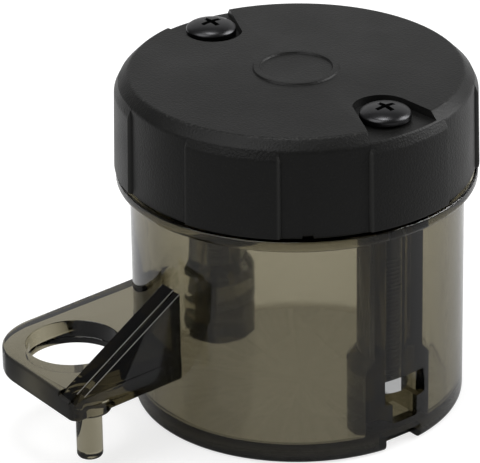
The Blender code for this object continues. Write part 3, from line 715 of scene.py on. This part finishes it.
def black_plastic(finish, cap, line_angle):
    """Matt black moulded plastic with fine grain, light wear on the chamfer's edge and painted
    highlight lines along the pads' upright edges.
    """
    material, tree, shader, _ = new_tree("black_plastic", {"Specular IOR Level": 0.25})
    place = add(tree, "TexCoord", (-900, 0)), "Object"
    grain = placed_group(tree, moulded_grain, place, (-600, 0), {"Scale": 2600.0})
    ring = {"Radius": cap.radius - cap.chamfer, "Height": cap.top, "Width": 0.0006}
    wear = placed_group(tree, ring_wear, place, (-600, -300), ring)
    edges = {"Line Angle": line_angle, "Half Pitch": math.pi / cap.pads, "Width": 0.016}
    edges["Half Spread"] = cap.pad_spread / 2 - cap.pad_ease / cap.radius
    edges["Radius"] = cap.radius + 0.0002
    # Painted highlight: paler lines along the pads' upright edges
    highlight = placed_group(tree, pad_edge_highlight, place, (-600, -600), edges)
    faint = add(tree, "Math", (-300, -600), {1: 0.6}, operation="MULTIPLY")
    either = add(tree, "Math", (-100, -400), operation="MAXIMUM")
    base, middle = finish.cap_colour, finish.cap_roughness
    tint = mixed(tree, (grain, "Speckle"), base, shaded(base, 2.1), (0, 300))
    wear_and_highlight = add(tree, "Mix", (300, 300), data_type="RGBA")
    wear_and_highlight.inputs[7].default_value = (*WEAR_AND_HIGHLIGHT_TINT, 1.0)
    rough = ranged(tree, (grain, "Cloud"), middle - 0.08, middle + 0.10)
    wire(
        tree,
        (highlight, "Mask", faint, 0),
        (wear, "Mask", either, 0),
        (faint, "Value", either, 1),
        (either, "Value", wear_and_highlight, "Factor"),
        (tint, 2, wear_and_highlight, 6),
        (wear_and_highlight, 2, shader, "Base Color"),
        (rough, "Result", shader, "Roughness"),
    )
    bumped(tree, shader, (grain, "Height"), 0.35, 0.00012)
    return material


def grained(name, scales, tones, rough, bump, metallic=0.0, stretch=None):
    """A material whose colour, roughness and relief follow the grain at the given scales."""
    material, tree, shader, _ = new_tree(name, {"Metallic": metallic})
    place = add(tree, "TexCoord", (-1100, 0)), "Object"
    if stretch:
        drawn = add(tree, "Mapping", (-850, 0), {"Scale": stretch})
        wire(tree, (*place, drawn, "Vector"))
        place = drawn, "Vector"
    grain = placed_group(tree, moulded_grain, place, (-600, 0), scales)
    tint = mixed(tree, (grain, "Cloud"), *tones)
    mask, low, high = rough
    spread = ranged(tree, (grain, mask), low, high)
    wire(tree, (tint, 2, shader, "Base Color"), (spread, "Result", shader, "Roughness"))
    bumped(tree, shader, (grain, "Height"), *bump)
    return material


def painted_edge_highlight(base):
    """Painted highlight: an opaque pale finish on the gusset's rounded sloping edges, standing in
    for their bright edge lines.
    """
    scales = {"Scale": 1500.0, "Cloud Scale": 500.0}
    tones = shaded(base, 0.35), base
    return grained("painted_edge_highlight", scales, tones, ("Speckle", 0.35, 0.6), (0.2, 0.00005))


def black_rubber(base):
    tones = base, shaded(base, 2.0)
    rough = "Speckle", 0.62, 0.82
    return grained("black_rubber", {"Scale": 1800.0}, tones, rough, (0.3, 0.00008))


def plated_steel(name, base, rough_low, rough_high, dark):
    """Zinc plated steel with a faint drawn finish and duller clouds."""
    scales = {"Scale": 1500.0, "Cloud Scale": 400.0}
    rough = "Cloud", rough_low, rough_high
    bump, drawn = (0.15, 0.00003), (1.0, 1.0, 6.0)
    return grained(name, scales, (base, shaded(base, dark)), rough, bump, 1.0, drawn)


# Pieces


def cup_shell(cup):
    """The turned cup: floor, wall, neck and flange."""
    inner = cup.radius - cup.wall
    corners = [(0.0, cup.floor), (inner, cup.floor, 0.0012), (inner, cup.neck_top, 0.0003)]
    corners += [(cup.neck_radius, cup.neck_top, 0.0004), (cup.neck_radius, cup.flange_high, 0.0002)]
    corners += [(cup.flange_radius, cup.flange_high, 0.0003)]
    corners += [(cup.flange_radius, cup.flange_low, cup.flange_round)]
    corners += [(cup.radius, cup.flange_low, 0.0006)]
    corners += [(cup.radius, 0.0, cup.base_round), (0.0, 0.0)]
    return lathe(rounded(corners, 5), cup.steps)


def screw_turns(screw):
    """The directions in which the two cap screws stand."""
    return screw.line_angle, screw.line_angle + math.pi


def columns(screw, radius, low, high, steps):
    """A drum on the axis of each cap screw."""
    places = [polar(screw.distance, turn) for turn in screw_turns(screw)]
    return [drum(radius, low, high, at, steps) for at in places]


def tower(cup, screw, side_angle):
    """One screw tower with its wider nut block, webbed into the wall."""
    at = polar(screw.distance, side_angle)
    low = cup.floor - 0.0006

    def web(radius, base, top):
        half = radius * WEB_SHARE
        inner, outer = (screw.distance, -half, base), (cup.radius + OVERRUN, half, top)
        return box(inner, outer, side_angle)

    profile = [
        (0.0, cup.pocket_top + cup.shoulder_rise),
        (cup.pocket_radius - cup.shoulder_in, cup.pocket_top + cup.shoulder_rise, 0.0004),
        (cup.pocket_radius, cup.pocket_top, 0.0004),
        (cup.pocket_radius, low - 0.0003),
        (0.0, low - 0.0003),
    ]
    pocket = lathe(rounded(profile), 72)
    move(pocket, at)
    item = solid("tower", drum(cup.tower_radius, low, cup.tower_top, at, 72))
    shaped(
        item,
        ("UNION", web(cup.tower_radius, low - 0.0002, cup.tower_top - 0.0002)),
        ("UNION", pocket),
        ("UNION", web(cup.pocket_radius, low + 0.0002, cup.pocket_top - 0.0002)),
        ("INTERSECT", drum(cup.radius - cup.wall / 2, 0.0, cup.neck_top, steps=cup.steps)),
    )
    return as_shape(item)


def tower_cuts(cup, screw, side_angle):
    """The screw's bore, the nut's stepped window, the slot under it and the base's notch."""
    at = polar(screw.distance, side_angle)
    tip = screw.seat - screw.shank - 0.0006
    bore = drum(screw.radius + 0.0003, tip, cup.neck_top + OVERRUN, at, 48)
    low, high, step = cup.slot_low, cup.slot_high, cup.slot_step
    foot, height = cup.radius - cup.notch_depth, cup.notch_height
    openings = (
        (screw.distance - cup.slot_in, -cup.slot_left, cup.slot_right - step, low, high),
        (cup.radius - step * 2, 0.0, cup.slot_right, low + 0.0001, high - 0.0001),
        (screw.distance - cup.tip_in, -cup.tip_left, cup.tip_right, cup.tip_low, low + 0.0006),
        (foot, -cup.notch_left, cup.notch_right, -OVERRUN, height),
    )
    outer = cup.radius + OVERRUN
    return bore, *[
        box((inner, left, base), (outer, right, top), side_angle)
        for inner, left, right, base, top in openings
    ]


def ear_corner(ear, radius, across):
    """Centre of a corner of the ear that touches its leaning end edge."""
    out = -ear.end + math.tan(ear.end_lean) * (across + ear.near_edge)
    return out + radius / math.cos(ear.end_lean), across


def ear_plate(ear):
    """The flat ear with rounded corners and edges, from inside the wall to its end."""
    root = 0.016
    far = ear_corner(ear, ear.far_corner, ear.far_edge - ear.far_corner)
    near = ear_corner(ear, ear.near_corner, -ear.near_edge + ear.near_corner)
    end_side = 180 - math.degrees(ear.end_lean)
    outline = [(-root, -ear.near_edge), (-root, ear.far_edge * 0.5), (-0.002, ear.far_edge)]
    outline += arc(far, ear.far_corner, 90, end_side, 24)
    outline += arc(near, ear.near_corner, end_side, 270, 8)
    plate = slab(outline, ear.low, ear.low + ear.thickness)

    def outer_edge(edge):
        start, end = edge.verts[0].co, edge.verts[1].co
        past_root = max(start.x, end.x) < -root + MERGE
        far_side = min(start.y, end.y) > ear.far_edge - MERGE
        return abs(start.z - end.z) < MERGE and (past_root or far_side)

    return round_edges(plate, ear.edge_round, outer_edge)


def slope(cup, ear, out):
    """Height of the gusset's sloping edge at a distance out from the cup's axis."""
    fall = (ear.gusset_top - ear.gusset_low) / (ear.gusset_out - cup.radius)
    return ear.gusset_top - (out - cup.radius) * fall


def gusset(cup, ear, near, far, rise):
    """One part of the upright gusset, with lightly rounded sloping edges."""
    root = 0.0195
    end = ear.end - ear.near_corner * 0.75
    foot = ear.low + ear.thickness / 3
    outline = [(-root, foot), (-end, foot), (-end, slope(cup, ear, end) + rise)]
    outline += [(-root, slope(cup, ear, root) + rise)]
    rib = slab(outline, near, far, upright=True)

    def sloping(edge):
        fall = edge.verts[0].co - edge.verts[1].co
        return abs(fall.z) > 0.002 and abs(fall.x) > 0.002

    return round_edges(rib, ear.edge_line, sloping)


def mark_rubbed_edges(item, cup, ear, lines):
    """Gives the rounded edges along the gusset's slope the second material, the painted highlight.
    """
    reach = ear.edge_line * 1.1
    for face in item.data.polygons:
        out = -face.center.x
        if not cup.radius + 0.0004 < out < ear.end - ear.near_corner * 0.7:
            continue
        if face.normal.y > -0.15 or face.normal.z < 0.15:
            continue
        for across, rise in lines:
            off = face.center.z - slope(cup, ear, out) - rise
            if abs(face.center.y - across) < reach and abs(off) < reach * 1.6:
                face.material_index = 1


def corner_cut(cup, ear, far, rise):
    """What the gusset's slope takes off the ear's near corner."""
    start, end = ear.end - 0.008, ear.end + OVERRUN
    top = ear.low + ear.thickness + 0.006
    outline = [(-start, slope(cup, ear, start) + rise), (-end, slope(cup, ear, end) + rise)]
    outline += [(-end, top), (-start, top)]
    return slab(outline, -ear.near_edge - OVERRUN, far, upright=True)


def locating_pin(ear):
    """The pin under the ear, on its small boss."""
    bottom = ear.low - ear.boss_drop
    profile = [
        (0.0, bottom + 0.0023),
        (ear.boss_radius, bottom + 0.0023),
        (ear.boss_radius, bottom, 0.0003),
        (ear.pin_radius, bottom, 0.0002),
        (ear.pin_radius, ear.pin_low, 0.0007),
        (0.0, ear.pin_low),
    ]
    pin = lathe(rounded(profile), 64)
    move(pin, (-ear.pin_out, ear.pin_across, 0.0))
    return pin


def ear_hole(ear):
    """What the ear's hole takes out, with eased rims and a fine step in its wall."""
    low, high = ear.low, ear.low + ear.thickness
    ease = 0.0001
    rim, wide = ear.hole_radius + ease * 2, ear.hole_radius + ease / 2
    narrow = ear.hole_radius - ease / 2
    profile = [(0.0, high + OVERRUN), (rim, high + OVERRUN), (rim, high + ease)]
    profile += [(wide, high - ease), (wide, low + ear.hole_step + ease)]
    profile += [(narrow, low + ear.hole_step), (narrow, low + ease)]
    profile += [(rim, low - ease), (rim, low - OVERRUN), (0.0, low - OVERRUN)]
    hole = lathe(profile, 96)
    move(hole, (-ear.hole_out, ear.hole_across, 0.0))
    return hole


def laid_outlet(cup, profile):
    """A turned shape laid along the hose outlet's direction."""
    shape = lathe(profile, 64)
    lay = Matrix.Rotation(cup.outlet_angle, 4, "Z") @ Matrix.Rotation(math.pi / 2, 4, "Y")
    lay = Matrix.Translation((0.0, 0.0, cup.outlet_height)) @ lay
    bmesh.ops.transform(shape, matrix=lay, verts=shape.verts)
    return shape


def outlet_spigot(cup):
    """The barbed hose outlet with its boss at the wall."""
    end = cup.radius + cup.outlet_length
    root = cup.radius - cup.wall * 0.55
    boss_end = cup.radius + cup.outlet_boss_length
    profile = [
        (0.0, end),
        (cup.outlet_radius - 0.0003, end, 0.0003),
        (cup.outlet_barb, end - cup.outlet_barb_length, 0.0001),
        (cup.outlet_radius, end - cup.outlet_barb_length),
        (cup.outlet_radius, boss_end, 0.0004),
        (cup.outlet_boss, boss_end, 0.0004),
        (cup.outlet_boss, root),
        (0.0, root),
    ]
    return laid_outlet(cup, rounded(profile))


def outlet_bore(cup):
    end = cup.radius + cup.outlet_length + OVERRUN
    start = cup.radius - cup.wall - OVERRUN
    bore = cup.outlet_bore
    return laid_outlet(cup, [(0.0, end), (bore, end), (bore, start), (0.0, start)])


class RESERVOIR_OT_cup(bpy.types.Operator):
    """Builds the clear cup with its ear, gusset, pin, towers and outlet"""

    bl_idname = "reservoir.cup"
    bl_label = "Clear cup"

    def execute(self, context):
        settings = context.scene.reservoir
        cup, ear, screw = settings.cup, settings.ear, settings.screw
        plate = solid("ear", ear_plate(ear))
        near = -ear.near_edge + ear.gusset_setback
        ledge = near + ear.gusset_ledge
        far = near + ear.gusset_thickness
        middle = cup.radius - cup.wall / 2
        shaped(
            plate,
            ("DIFFERENCE", corner_cut(cup, ear, far, ear.gusset_rise)),
            ("DIFFERENCE", corner_cut(cup, ear, ledge, 0.0)),
            ("UNION", gusset(cup, ear, near, ledge + 0.0006, 0.0)),
            ("UNION", gusset(cup, ear, ledge, far, ear.gusset_rise)),
            ("UNION", locating_pin(ear)),
            ("DIFFERENCE", ear_hole(ear)),
            ("DIFFERENCE", drum(middle, 0.0, cup.flange_low, steps=cup.steps)),
        )
        item = solid("cup", cup_shell(cup))
        shaped(item, ("UNION", as_shape(plate)), ("UNION", outlet_spigot(cup)))
        for turn in screw_turns(screw):
            shaped(item, ("UNION", tower(cup, screw, turn)))
        shaped(item, ("DIFFERENCE", outlet_bore(cup)))
        for turn in screw_turns(screw):
            shaped(item, *[("DIFFERENCE", cut) for cut in tower_cuts(cup, screw, turn)])
        material = smoke_plastic(settings.finish, ear)
        finished(item, "clear_cup", "reservoir", material, ["reservoir_body"])
        # Painted highlight on the gusset's sloping edges, as a second material
        item.data.materials.append(painted_edge_highlight(settings.finish.edge_colour))
        mark_rubbed_edges(item, cup, ear, ((near, 0.0), (ledge, ear.gusset_rise)))
        return {"FINISHED"}


def cap_shell(cap):
    """The turned cap: top with its raised ring, chamfer, skirt, ledge and ceiling."""
    half = cap.ring_width / 2
    crest = cap.top + cap.ring_height
    corners = [(0.0, cap.top), (cap.ring_radius - half - 0.0002, cap.top, 0.0001)]
    corners += [(cap.ring_radius - half, crest, 0.0001), (cap.ring_radius + half, crest, 0.0001)]
    corners += [(cap.ring_radius + half + 0.0002, cap.top, 0.0001)]
    corners += [(cap.radius - cap.chamfer, cap.top, 0.0009)]
    corners += [(cap.radius, cap.top - cap.chamfer, 0.0012), (cap.foot, cap.low, 0.0004)]
    corners += [(cap.bore, cap.low, 0.0003), (cap.bore, cap.ledge, 0.0003)]
    corners += [(cap.inner_bore, cap.ledge, 0.0003), (cap.inner_bore, cap.ceiling, 0.0008)]
    corners += [(0.0, cap.ceiling)]
    return lathe(rounded(corners), cap.steps)


def grip_pads(cap, line_angle):
    """The raised pads round the skirt, which run up into the chamfer, with soft sides."""
    upper, low = cap.top - cap.chamfer + 0.0001, cap.low + 0.0001
    inside = (cap.radius + cap.bore) / 2
    section = [(inside, upper), (cap.radius - 0.0001, upper)]
    section += [(cap.radius + cap.pad_height, upper - cap.pad_height * 2.5, 0.0016)]
    section += [(cap.foot + cap.pad_height, low, 0.0004), (inside, low)]
    section = rounded(section)
    pads = None
    for i in range(cap.pads):
        start = line_angle + FULL_TURN * i / cap.pads - cap.pad_spread / 2
        shape = sweep(section, cap.pad_spread, 60, start)
        for vert in shape.verts:
            reach = vert.co.xy.length
            if reach > inside + 0.0005:
                swing = (math.atan2(vert.co.y, vert.co.x) - start + math.pi) % FULL_TURN - math.pi
                edge = min(1.0, max(0.0, min(swing, cap.pad_spread - swing)) * reach / cap.pad_ease)
                sunk = 1 - edge**2 * (3 - 2 * edge)
                vert.co.xy *= 1 - sunk * (cap.pad_height + 0.00015) / reach
        if pads:
            shaped(pads, ("UNION", shape))
        else:
            pads = solid("grip_pads", shape)
    return as_shape(pads)


def head_recess(cap, screw, turn):
    """The recess for a screw head: a round well that opens to the cap's edge."""
    mouth = screw.distance + cap.mouth_out
    centre = (screw.distance - cap.recess_in, cap.recess_aside)
    outline = [(mouth, cap.mouth_right)] + arc(centre, cap.recess_radius, 92, 226, 28)
    outline += [(mouth, -cap.mouth_left)]
    shape = slab(outline, cap.top - cap.recess_depth, cap.top + OVERRUN)
    rotate(shape, turn)
    return shape


class RESERVOIR_OT_cap(bpy.types.Operator):
    """Builds the black cap with its pads, screw recesses and vent"""

    bl_idname = "reservoir.cap"
    bl_label = "Cap"

    def execute(self, context):
        settings = context.scene.reservoir
        cap, screw = settings.cap, settings.screw
        item = solid("cap_shell", cap_shell(cap))
        shaped(item, ("UNION", grip_pads(cap, screw.line_angle)))
        bosses = columns(screw, cap.boss_radius, cap.ledge + 0.0001, cap.ceiling + 0.0006, 64)
        shaped(item, *[("UNION", boss) for boss in bosses])
        holes = columns(screw, cap.hole_radius, cap.ledge - OVERRUN, cap.top + OVERRUN, 48)
        for turn, hole in zip(screw_turns(screw), holes):
            shaped(item, ("DIFFERENCE", head_recess(cap, screw, turn)), ("DIFFERENCE", hole))
        inner = (cap.foot - cap.vent_depth, -cap.vent_width / 2, cap.low - OVERRUN)
        outer = (cap.foot + OVERRUN, cap.vent_width / 2, cap.low + cap.vent_height)
        shaped(item, ("DIFFERENCE", box(inner, outer, cap.vent_angle)))
        material = black_plastic(settings.finish, cap, screw.line_angle)
        finished(item, "screwed_cap", "cap", material, ["cap"])
        return {"FINISHED"}


def bellows(rubber, offset, points):
    """The folded wall from rim to crown, moved sideways from its middle line."""
    low = rubber.low + rubber.rim + rubber.wall / 2
    rise = rubber.crown - low
    count = rubber.folds * points
    middle = rubber.outer - rubber.fold
    line = []
    for i in range(count + 1):
        turn = FULL_TURN * rubber.folds * i / count
        lean = -rubber.fold * math.sin(turn) * FULL_TURN * rubber.folds
        size = math.hypot(lean, rise)
        radius = middle + rubber.fold * math.cos(turn) + offset * rise / size
        line.append((radius, low + rise * i / count - offset * lean / size))
    return line


class RESERVOIR_OT_diaphragm(bpy.types.Operator):
    """Builds the rubber bellows under the cap"""

    bl_idname = "reservoir.diaphragm"
    bl_label = "Diaphragm"

    def execute(self, context):
        settings = context.scene.reservoir
        rubber, screw = settings.diaphragm, settings.screw
        half = rubber.wall / 2
        outer = bellows(rubber, half, 20)
        inner = bellows(rubber, -half, 20)
        rim_top = rubber.low + rubber.rim
        profile = [(0.0, rubber.crown + half), (outer[-1][0] - half, rubber.crown + half)]
        profile += outer[::-1]
        profile += [(outer[0][0], rim_top), (rubber.rim_radius - 0.0002, rim_top)]
        profile += [(rubber.rim_radius, rim_top - 0.0002), (rubber.rim_radius, rubber.low)]
        profile += [(inner[0][0], rubber.low)] + inner
        profile += [(inner[-1][0] - half, rubber.crown - half), (0.0, rubber.crown - half)]
        item = solid("bellows", lathe(profile, 96))
        holes = columns(screw, screw.radius + 0.0006, rubber.low - 0.001, rim_top + 0.001, 32)
        shaped(item, *[("DIFFERENCE", hole) for hole in holes])
        material = black_rubber(settings.finish.rubber_colour)
        finished(item, "rubber_bellows", "cap", material, ["diaphragm"])
        return {"FINISHED"}


def screw_thread(screw):
    """A helical ridge of the thread's section, from the tip up."""
    half, crest = screw.pitch * 0.42, screw.pitch * 0.07
    buried = screw.root_radius - 0.0002
    start = -screw.shank + half + 0.0002
    section = [(buried, start - half), (screw.radius, start - crest)]
    section += [(screw.radius, start + crest), (buried, start + half)]
    turns = int((screw.threaded - screw.pitch * 2) / screw.pitch)
    per_turn = 28
    rise = screw.pitch / per_turn
    return sweep(section, FULL_TURN * turns, per_turn * turns, rise=rise)


def cross_recess(screw, turn):
    """One wing of the cross recess, narrower at its bottom."""
    span, width = screw.drive_span / 2, screw.drive_width / 2
    top = screw.head_height + 0.0006
    shape = box((-span, -width, screw.head_height - screw.drive_depth), (span, width, top))
    for vert in shape.verts:
        if vert.co.z < top - MERGE:
            vert.co.x *= 0.45
            vert.co.y *= 0.75
    rotate(shape, turn)
    return shape


def machine_screw(screw, turn):
    """A domed cross-recess screw: head, shank, thread and pointed end."""
    dome = screw.head_height - screw.head_rim
    swings = [math.pi / 2 * i / 14 for i in range(15)]
    profile = [
        (screw.head_radius * math.sin(swing), screw.head_rim + dome * math.cos(swing))
        for swing in swings
    ]
    root, tip = screw.root_radius, -screw.shank
    plain = tip + screw.threaded
    profile += [(screw.head_radius, 0.0002), (screw.head_radius - 0.0002, 0.0)]
    profile += [(screw.radius, 0.0), (screw.radius, plain), (root, plain - 0.0004)]
    profile += [(root, tip + 0.0003), (root - 0.0003, tip), (0.0, tip)]
    item = solid("screw_blank", lathe(profile, 64))
    shaped(item, *[("DIFFERENCE", cross_recess(screw, wing)) for wing in (0.0, math.pi / 2)])
    shape = as_shape(item)
    thread = as_mesh("thread", screw_thread(screw))
    shape.from_mesh(thread)
    bpy.data.meshes.remove(thread)
    rotate(shape, turn)
    move(shape, polar(screw.distance, turn, screw.seat))
    return solid("screw", shape)


class RESERVOIR_OT_screws(bpy.types.Operator):
    """Builds the two cap screws"""

    bl_idname = "reservoir.screws"
    bl_label = "Cap screws"

    def execute(self, context):
        settings = context.scene.reservoir
        slot, base = "black_zinc_steel", settings.finish.screw_colour
        material = plated_steel(slot, base, 0.22, 0.38, 0.6)
        for side, turn in zip(SIDES, screw_turns(settings.screw)):
            item = machine_screw(settings.screw, turn)
            name, body = "machine_screw_" + side, "screw_" + side
            finished(item, name, body, material, ["cap_screw_" + side])
        return {"FINISHED"}


def plain_nut(screw, turn):
    """A hexagon nut with chamfered corners and a countersunk bore."""
    corner = screw.nut_flats / math.sqrt(3)
    height = screw.nut_high - screw.nut_low
    blank = drum(corner, 0.0, height, steps=6)
    lead = max(blank.verts, key=lambda vert: vert.co.x).co
    rotate(blank, turn - math.atan2(lead.y, lead.x))
    cone, flat, rim = 0.0005, screw.nut_flats * 0.48, corner + 0.0001
    envelope = [(0.0, height), (flat, height), (rim, height - cone)]
    envelope += [(rim, cone), (flat, 0.0), (0.0, 0.0)]
    bore = screw.radius + 0.0001
    mouth = bore + 0.0013
    hole = [(0.0, height + 0.001), (mouth, height + 0.001), (bore, height - 0.0003)]
    hole += [(bore, 0.0003), (mouth, -0.001), (0.0, -0.001)]
    item = solid("nut", blank)
    shaped(item, ("INTERSECT", lathe(envelope, 96)), ("DIFFERENCE", lathe(hole, 64)))
    item.data.transform(Matrix.Translation(polar(screw.distance, turn, screw.nut_low)))
    return item


class RESERVOIR_OT_nuts(bpy.types.Operator):
    """Builds the two nuts in the cup's pockets"""

    bl_idname = "reservoir.nuts"
    bl_label = "Nuts"

    def execute(self, context):
        settings = context.scene.reservoir
        slot, base = "bright_zinc_steel", settings.finish.nut_colour
        material = plated_steel(slot, base, 0.16, 0.32, 0.9)
        for side, turn in zip(SIDES, screw_turns(settings.screw)):
            item = plain_nut(settings.screw, turn)
            finished(item, "plain_nut_" + side, "reservoir", material, ["hex_nut_" + side])
        return {"FINISHED"}


def seen_directly(tree, at):
    """Two factors: one where the camera looks, also through clear plastic, and one in gloss."""
    path = add(tree, "LightPath", at)
    either = add(tree, "Math", (at[0] + 200, at[1]), operation="MAXIMUM")
    wire(tree, (path, "Is Camera Ray", either, 0), (path, "Is Transmission Ray", either, 1))
    return (either, "Value"), (path, "Is Glossy Ray")


def floor_material(stage):
    """A pale floor that looks white where no shadow falls on it."""
    matt = {"Roughness": 0.9, "Specular IOR Level": 0.0}
    material, tree, shader, output = new_tree("pale_floor", matt)
    seen, glossy = seen_directly(tree, (-900, -300))
    deeper = [part * stage.floor_depth for part in stage.floor_colour]
    tone = mixed(tree, glossy, stage.floor_colour, deeper, (200, 300))
    place = add(tree, "TexCoord", (-900, -600))
    view = {1: (-math.sin(stage.azimuth), math.cos(stage.azimuth), 0.0)}
    away = add(tree, "VectorMath", (-700, -600), view, operation="DOT_PRODUCT")
    behind = ranged(tree, (away, "Value"), 0.0, stage.floor_gloss, (-500, -600), -0.05, 0.15)
    lift = add(tree, "Math", (0, -300), {1: stage.floor_lift}, operation="MULTIPLY")
    mirrored = add(tree, "Math", (-250, -500), operation="MULTIPLY")
    total = add(tree, "Math", (150, -400), operation="ADD")
    glow = add(tree, "Emission", (300, -300))
    both = add(tree, "AddShader", (700, -100))
    wire(
        tree,
        (tone, 2, shader, "Base Color"),
        (place, "Object", away, 0),
        (*glossy, mirrored, 0),
        (behind, "Result", mirrored, 1),
        (*seen, lift, 0),
        (lift, "Value", total, 0),
        (mirrored, "Value", total, 1),
        (total, "Value", glow, "Strength"),
        (shader, "BSDF", both, 0),
        (glow, "Emission", both, 1),
        (both, "Shader", output, "Surface"),
    )
    return material


def studio_world(stage):
    """Plain white where it is looked at, softer where it only lights the object."""
    world = bpy.data.worlds.new("studio")
    bpy.context.scene.world = world
    world.use_nodes = True
    tree = world.node_tree
    tree.nodes.clear()
    output = add(tree, "OutputWorld", (600, 0))
    back = add(tree, "Background", (300, 0))
    seen, glossy = seen_directly(tree, (-600, 0))
    lit = ranged(tree, glossy, stage.soft_level, stage.gloss_level, (-100, -200))
    level = ranged(tree, seen, 0.0, 1.0, (100, 0))
    wire(
        tree,
        (lit, "Result", level, "To Min"),
        (level, "Result", back, "Strength"),
        (back, "Background", output, "Surface"),
    )


def towards(azimuth, elevation):
    """A step of one metre at an angle round from -Y and an angle up."""
    flat = math.cos(elevation)
    return Vector((math.sin(azimuth) * flat, -math.cos(azimuth) * flat, math.sin(elevation)))


def soft_light(name, size, power, azimuth, elevation, distance):
    """A rectangular soft light that looks at the reservoir's middle."""
    lamp = bpy.data.lights.new(name, "AREA")
    lamp.shape = "RECTANGLE"
    lamp.size, lamp.size_y = size
    lamp.energy = power
    item = linked(name, lamp)
    side = towards(math.radians(azimuth), math.radians(elevation))
    item.location = Vector((0.0, 0.0, LAMP_AIM)) + side * distance
    item.rotation_euler = (-side).to_track_quat("-Z", "Y").to_euler()


def photo_camera(stage):
    """The camera at the photo's angle, with the shift that its framing needs."""
    lens = bpy.data.cameras.new("photo_camera")
    lens.sensor_width = SENSOR_WIDTH
    lens.lens = stage.focal_pixels / PHOTO_WIDTH * SENSOR_WIDTH
    lens.shift_x = (PHOTO_WIDTH / 2 - stage.aim_x) / PHOTO_WIDTH
    lens.shift_y = (stage.aim_y - stage.photo_height / 2) / PHOTO_WIDTH
    lens.clip_start = 0.01
    lens.clip_end = 50.0
    item = linked("photo_camera", lens)
    side = towards(stage.azimuth, stage.elevation)
    item.location = Vector((0.0, 0.0, stage.aim_height)) + side * stage.distance
    look = (-side).to_track_quat("-Z", "Y").to_matrix().to_4x4()
    turned = look @ Matrix.Rotation(stage.roll, 4, "Z")
    item.rotation_euler = turned.to_euler()
    bpy.context.scene.camera = item


class RESERVOIR_OT_stage(bpy.types.Operator):
    """Builds the floor, the light and the camera"""

    bl_idname = "reservoir.stage"
    bl_label = "Studio"

    def execute(self, context):
        stage = context.scene.reservoir.stage
        shape = bmesh.new()
        bmesh.ops.create_grid(shape, x_segments=4, y_segments=4, size=stage.floor_size / 2)
        floor = solid("studio_floor", shape)
        floor.data.materials.append(floor_material(stage))
        studio_world(stage)
        for lamp in LAMPS:
            soft_light(*lamp)
        photo_camera(stage)
        context.scene.view_settings.view_transform = "Standard"
        return {"FINISHED"}


class RESERVOIR_PT_panel(bpy.types.Panel):
    """Lists the reservoir's pieces in the sidebar"""

    bl_idname = "RESERVOIR_PT_panel"
    bl_label = "Reservoir"
    bl_space_type = "VIEW_3D"
    bl_region_type = "UI"
    bl_category = "Reservoir"

    def draw(self, context):
        for operator in OPERATORS:
            self.layout.operator(operator.bl_idname)


OPERATORS = (
    RESERVOIR_OT_stage,
    RESERVOIR_OT_cup,
    RESERVOIR_OT_cap,
    RESERVOIR_OT_diaphragm,
    RESERVOIR_OT_screws,
    RESERVOIR_OT_nuts,
)
CLASSES = (
    CupSizes,
    EarSizes,
    CapSizes,
    ScrewSizes,
    DiaphragmSizes,
    Finishes,
    StageSettings,
    ReservoirSettings,
    *OPERATORS,
    RESERVOIR_PT_panel,
)


def register():
    for item in CLASSES:
        bpy.utils.register_class(item)
    bpy.types.Scene.reservoir = PointerProperty(type=ReservoirSettings)


def unregister():
    del bpy.types.Scene.reservoir
    for item in reversed(CLASSES):
        bpy.utils.unregister_class(item)


def plain(bounds):
    return [[float(value) for value in corner] for corner in bounds]


def main():
    register()
    bpy.ops.reservoir.stage()
    bpy.ops.reservoir.cup()
    bpy.ops.reservoir.cap()
    bpy.ops.reservoir.diaphragm()
    bpy.ops.reservoir.screws()
    bpy.ops.reservoir.nuts()


if __name__ == "__main__":
    main()
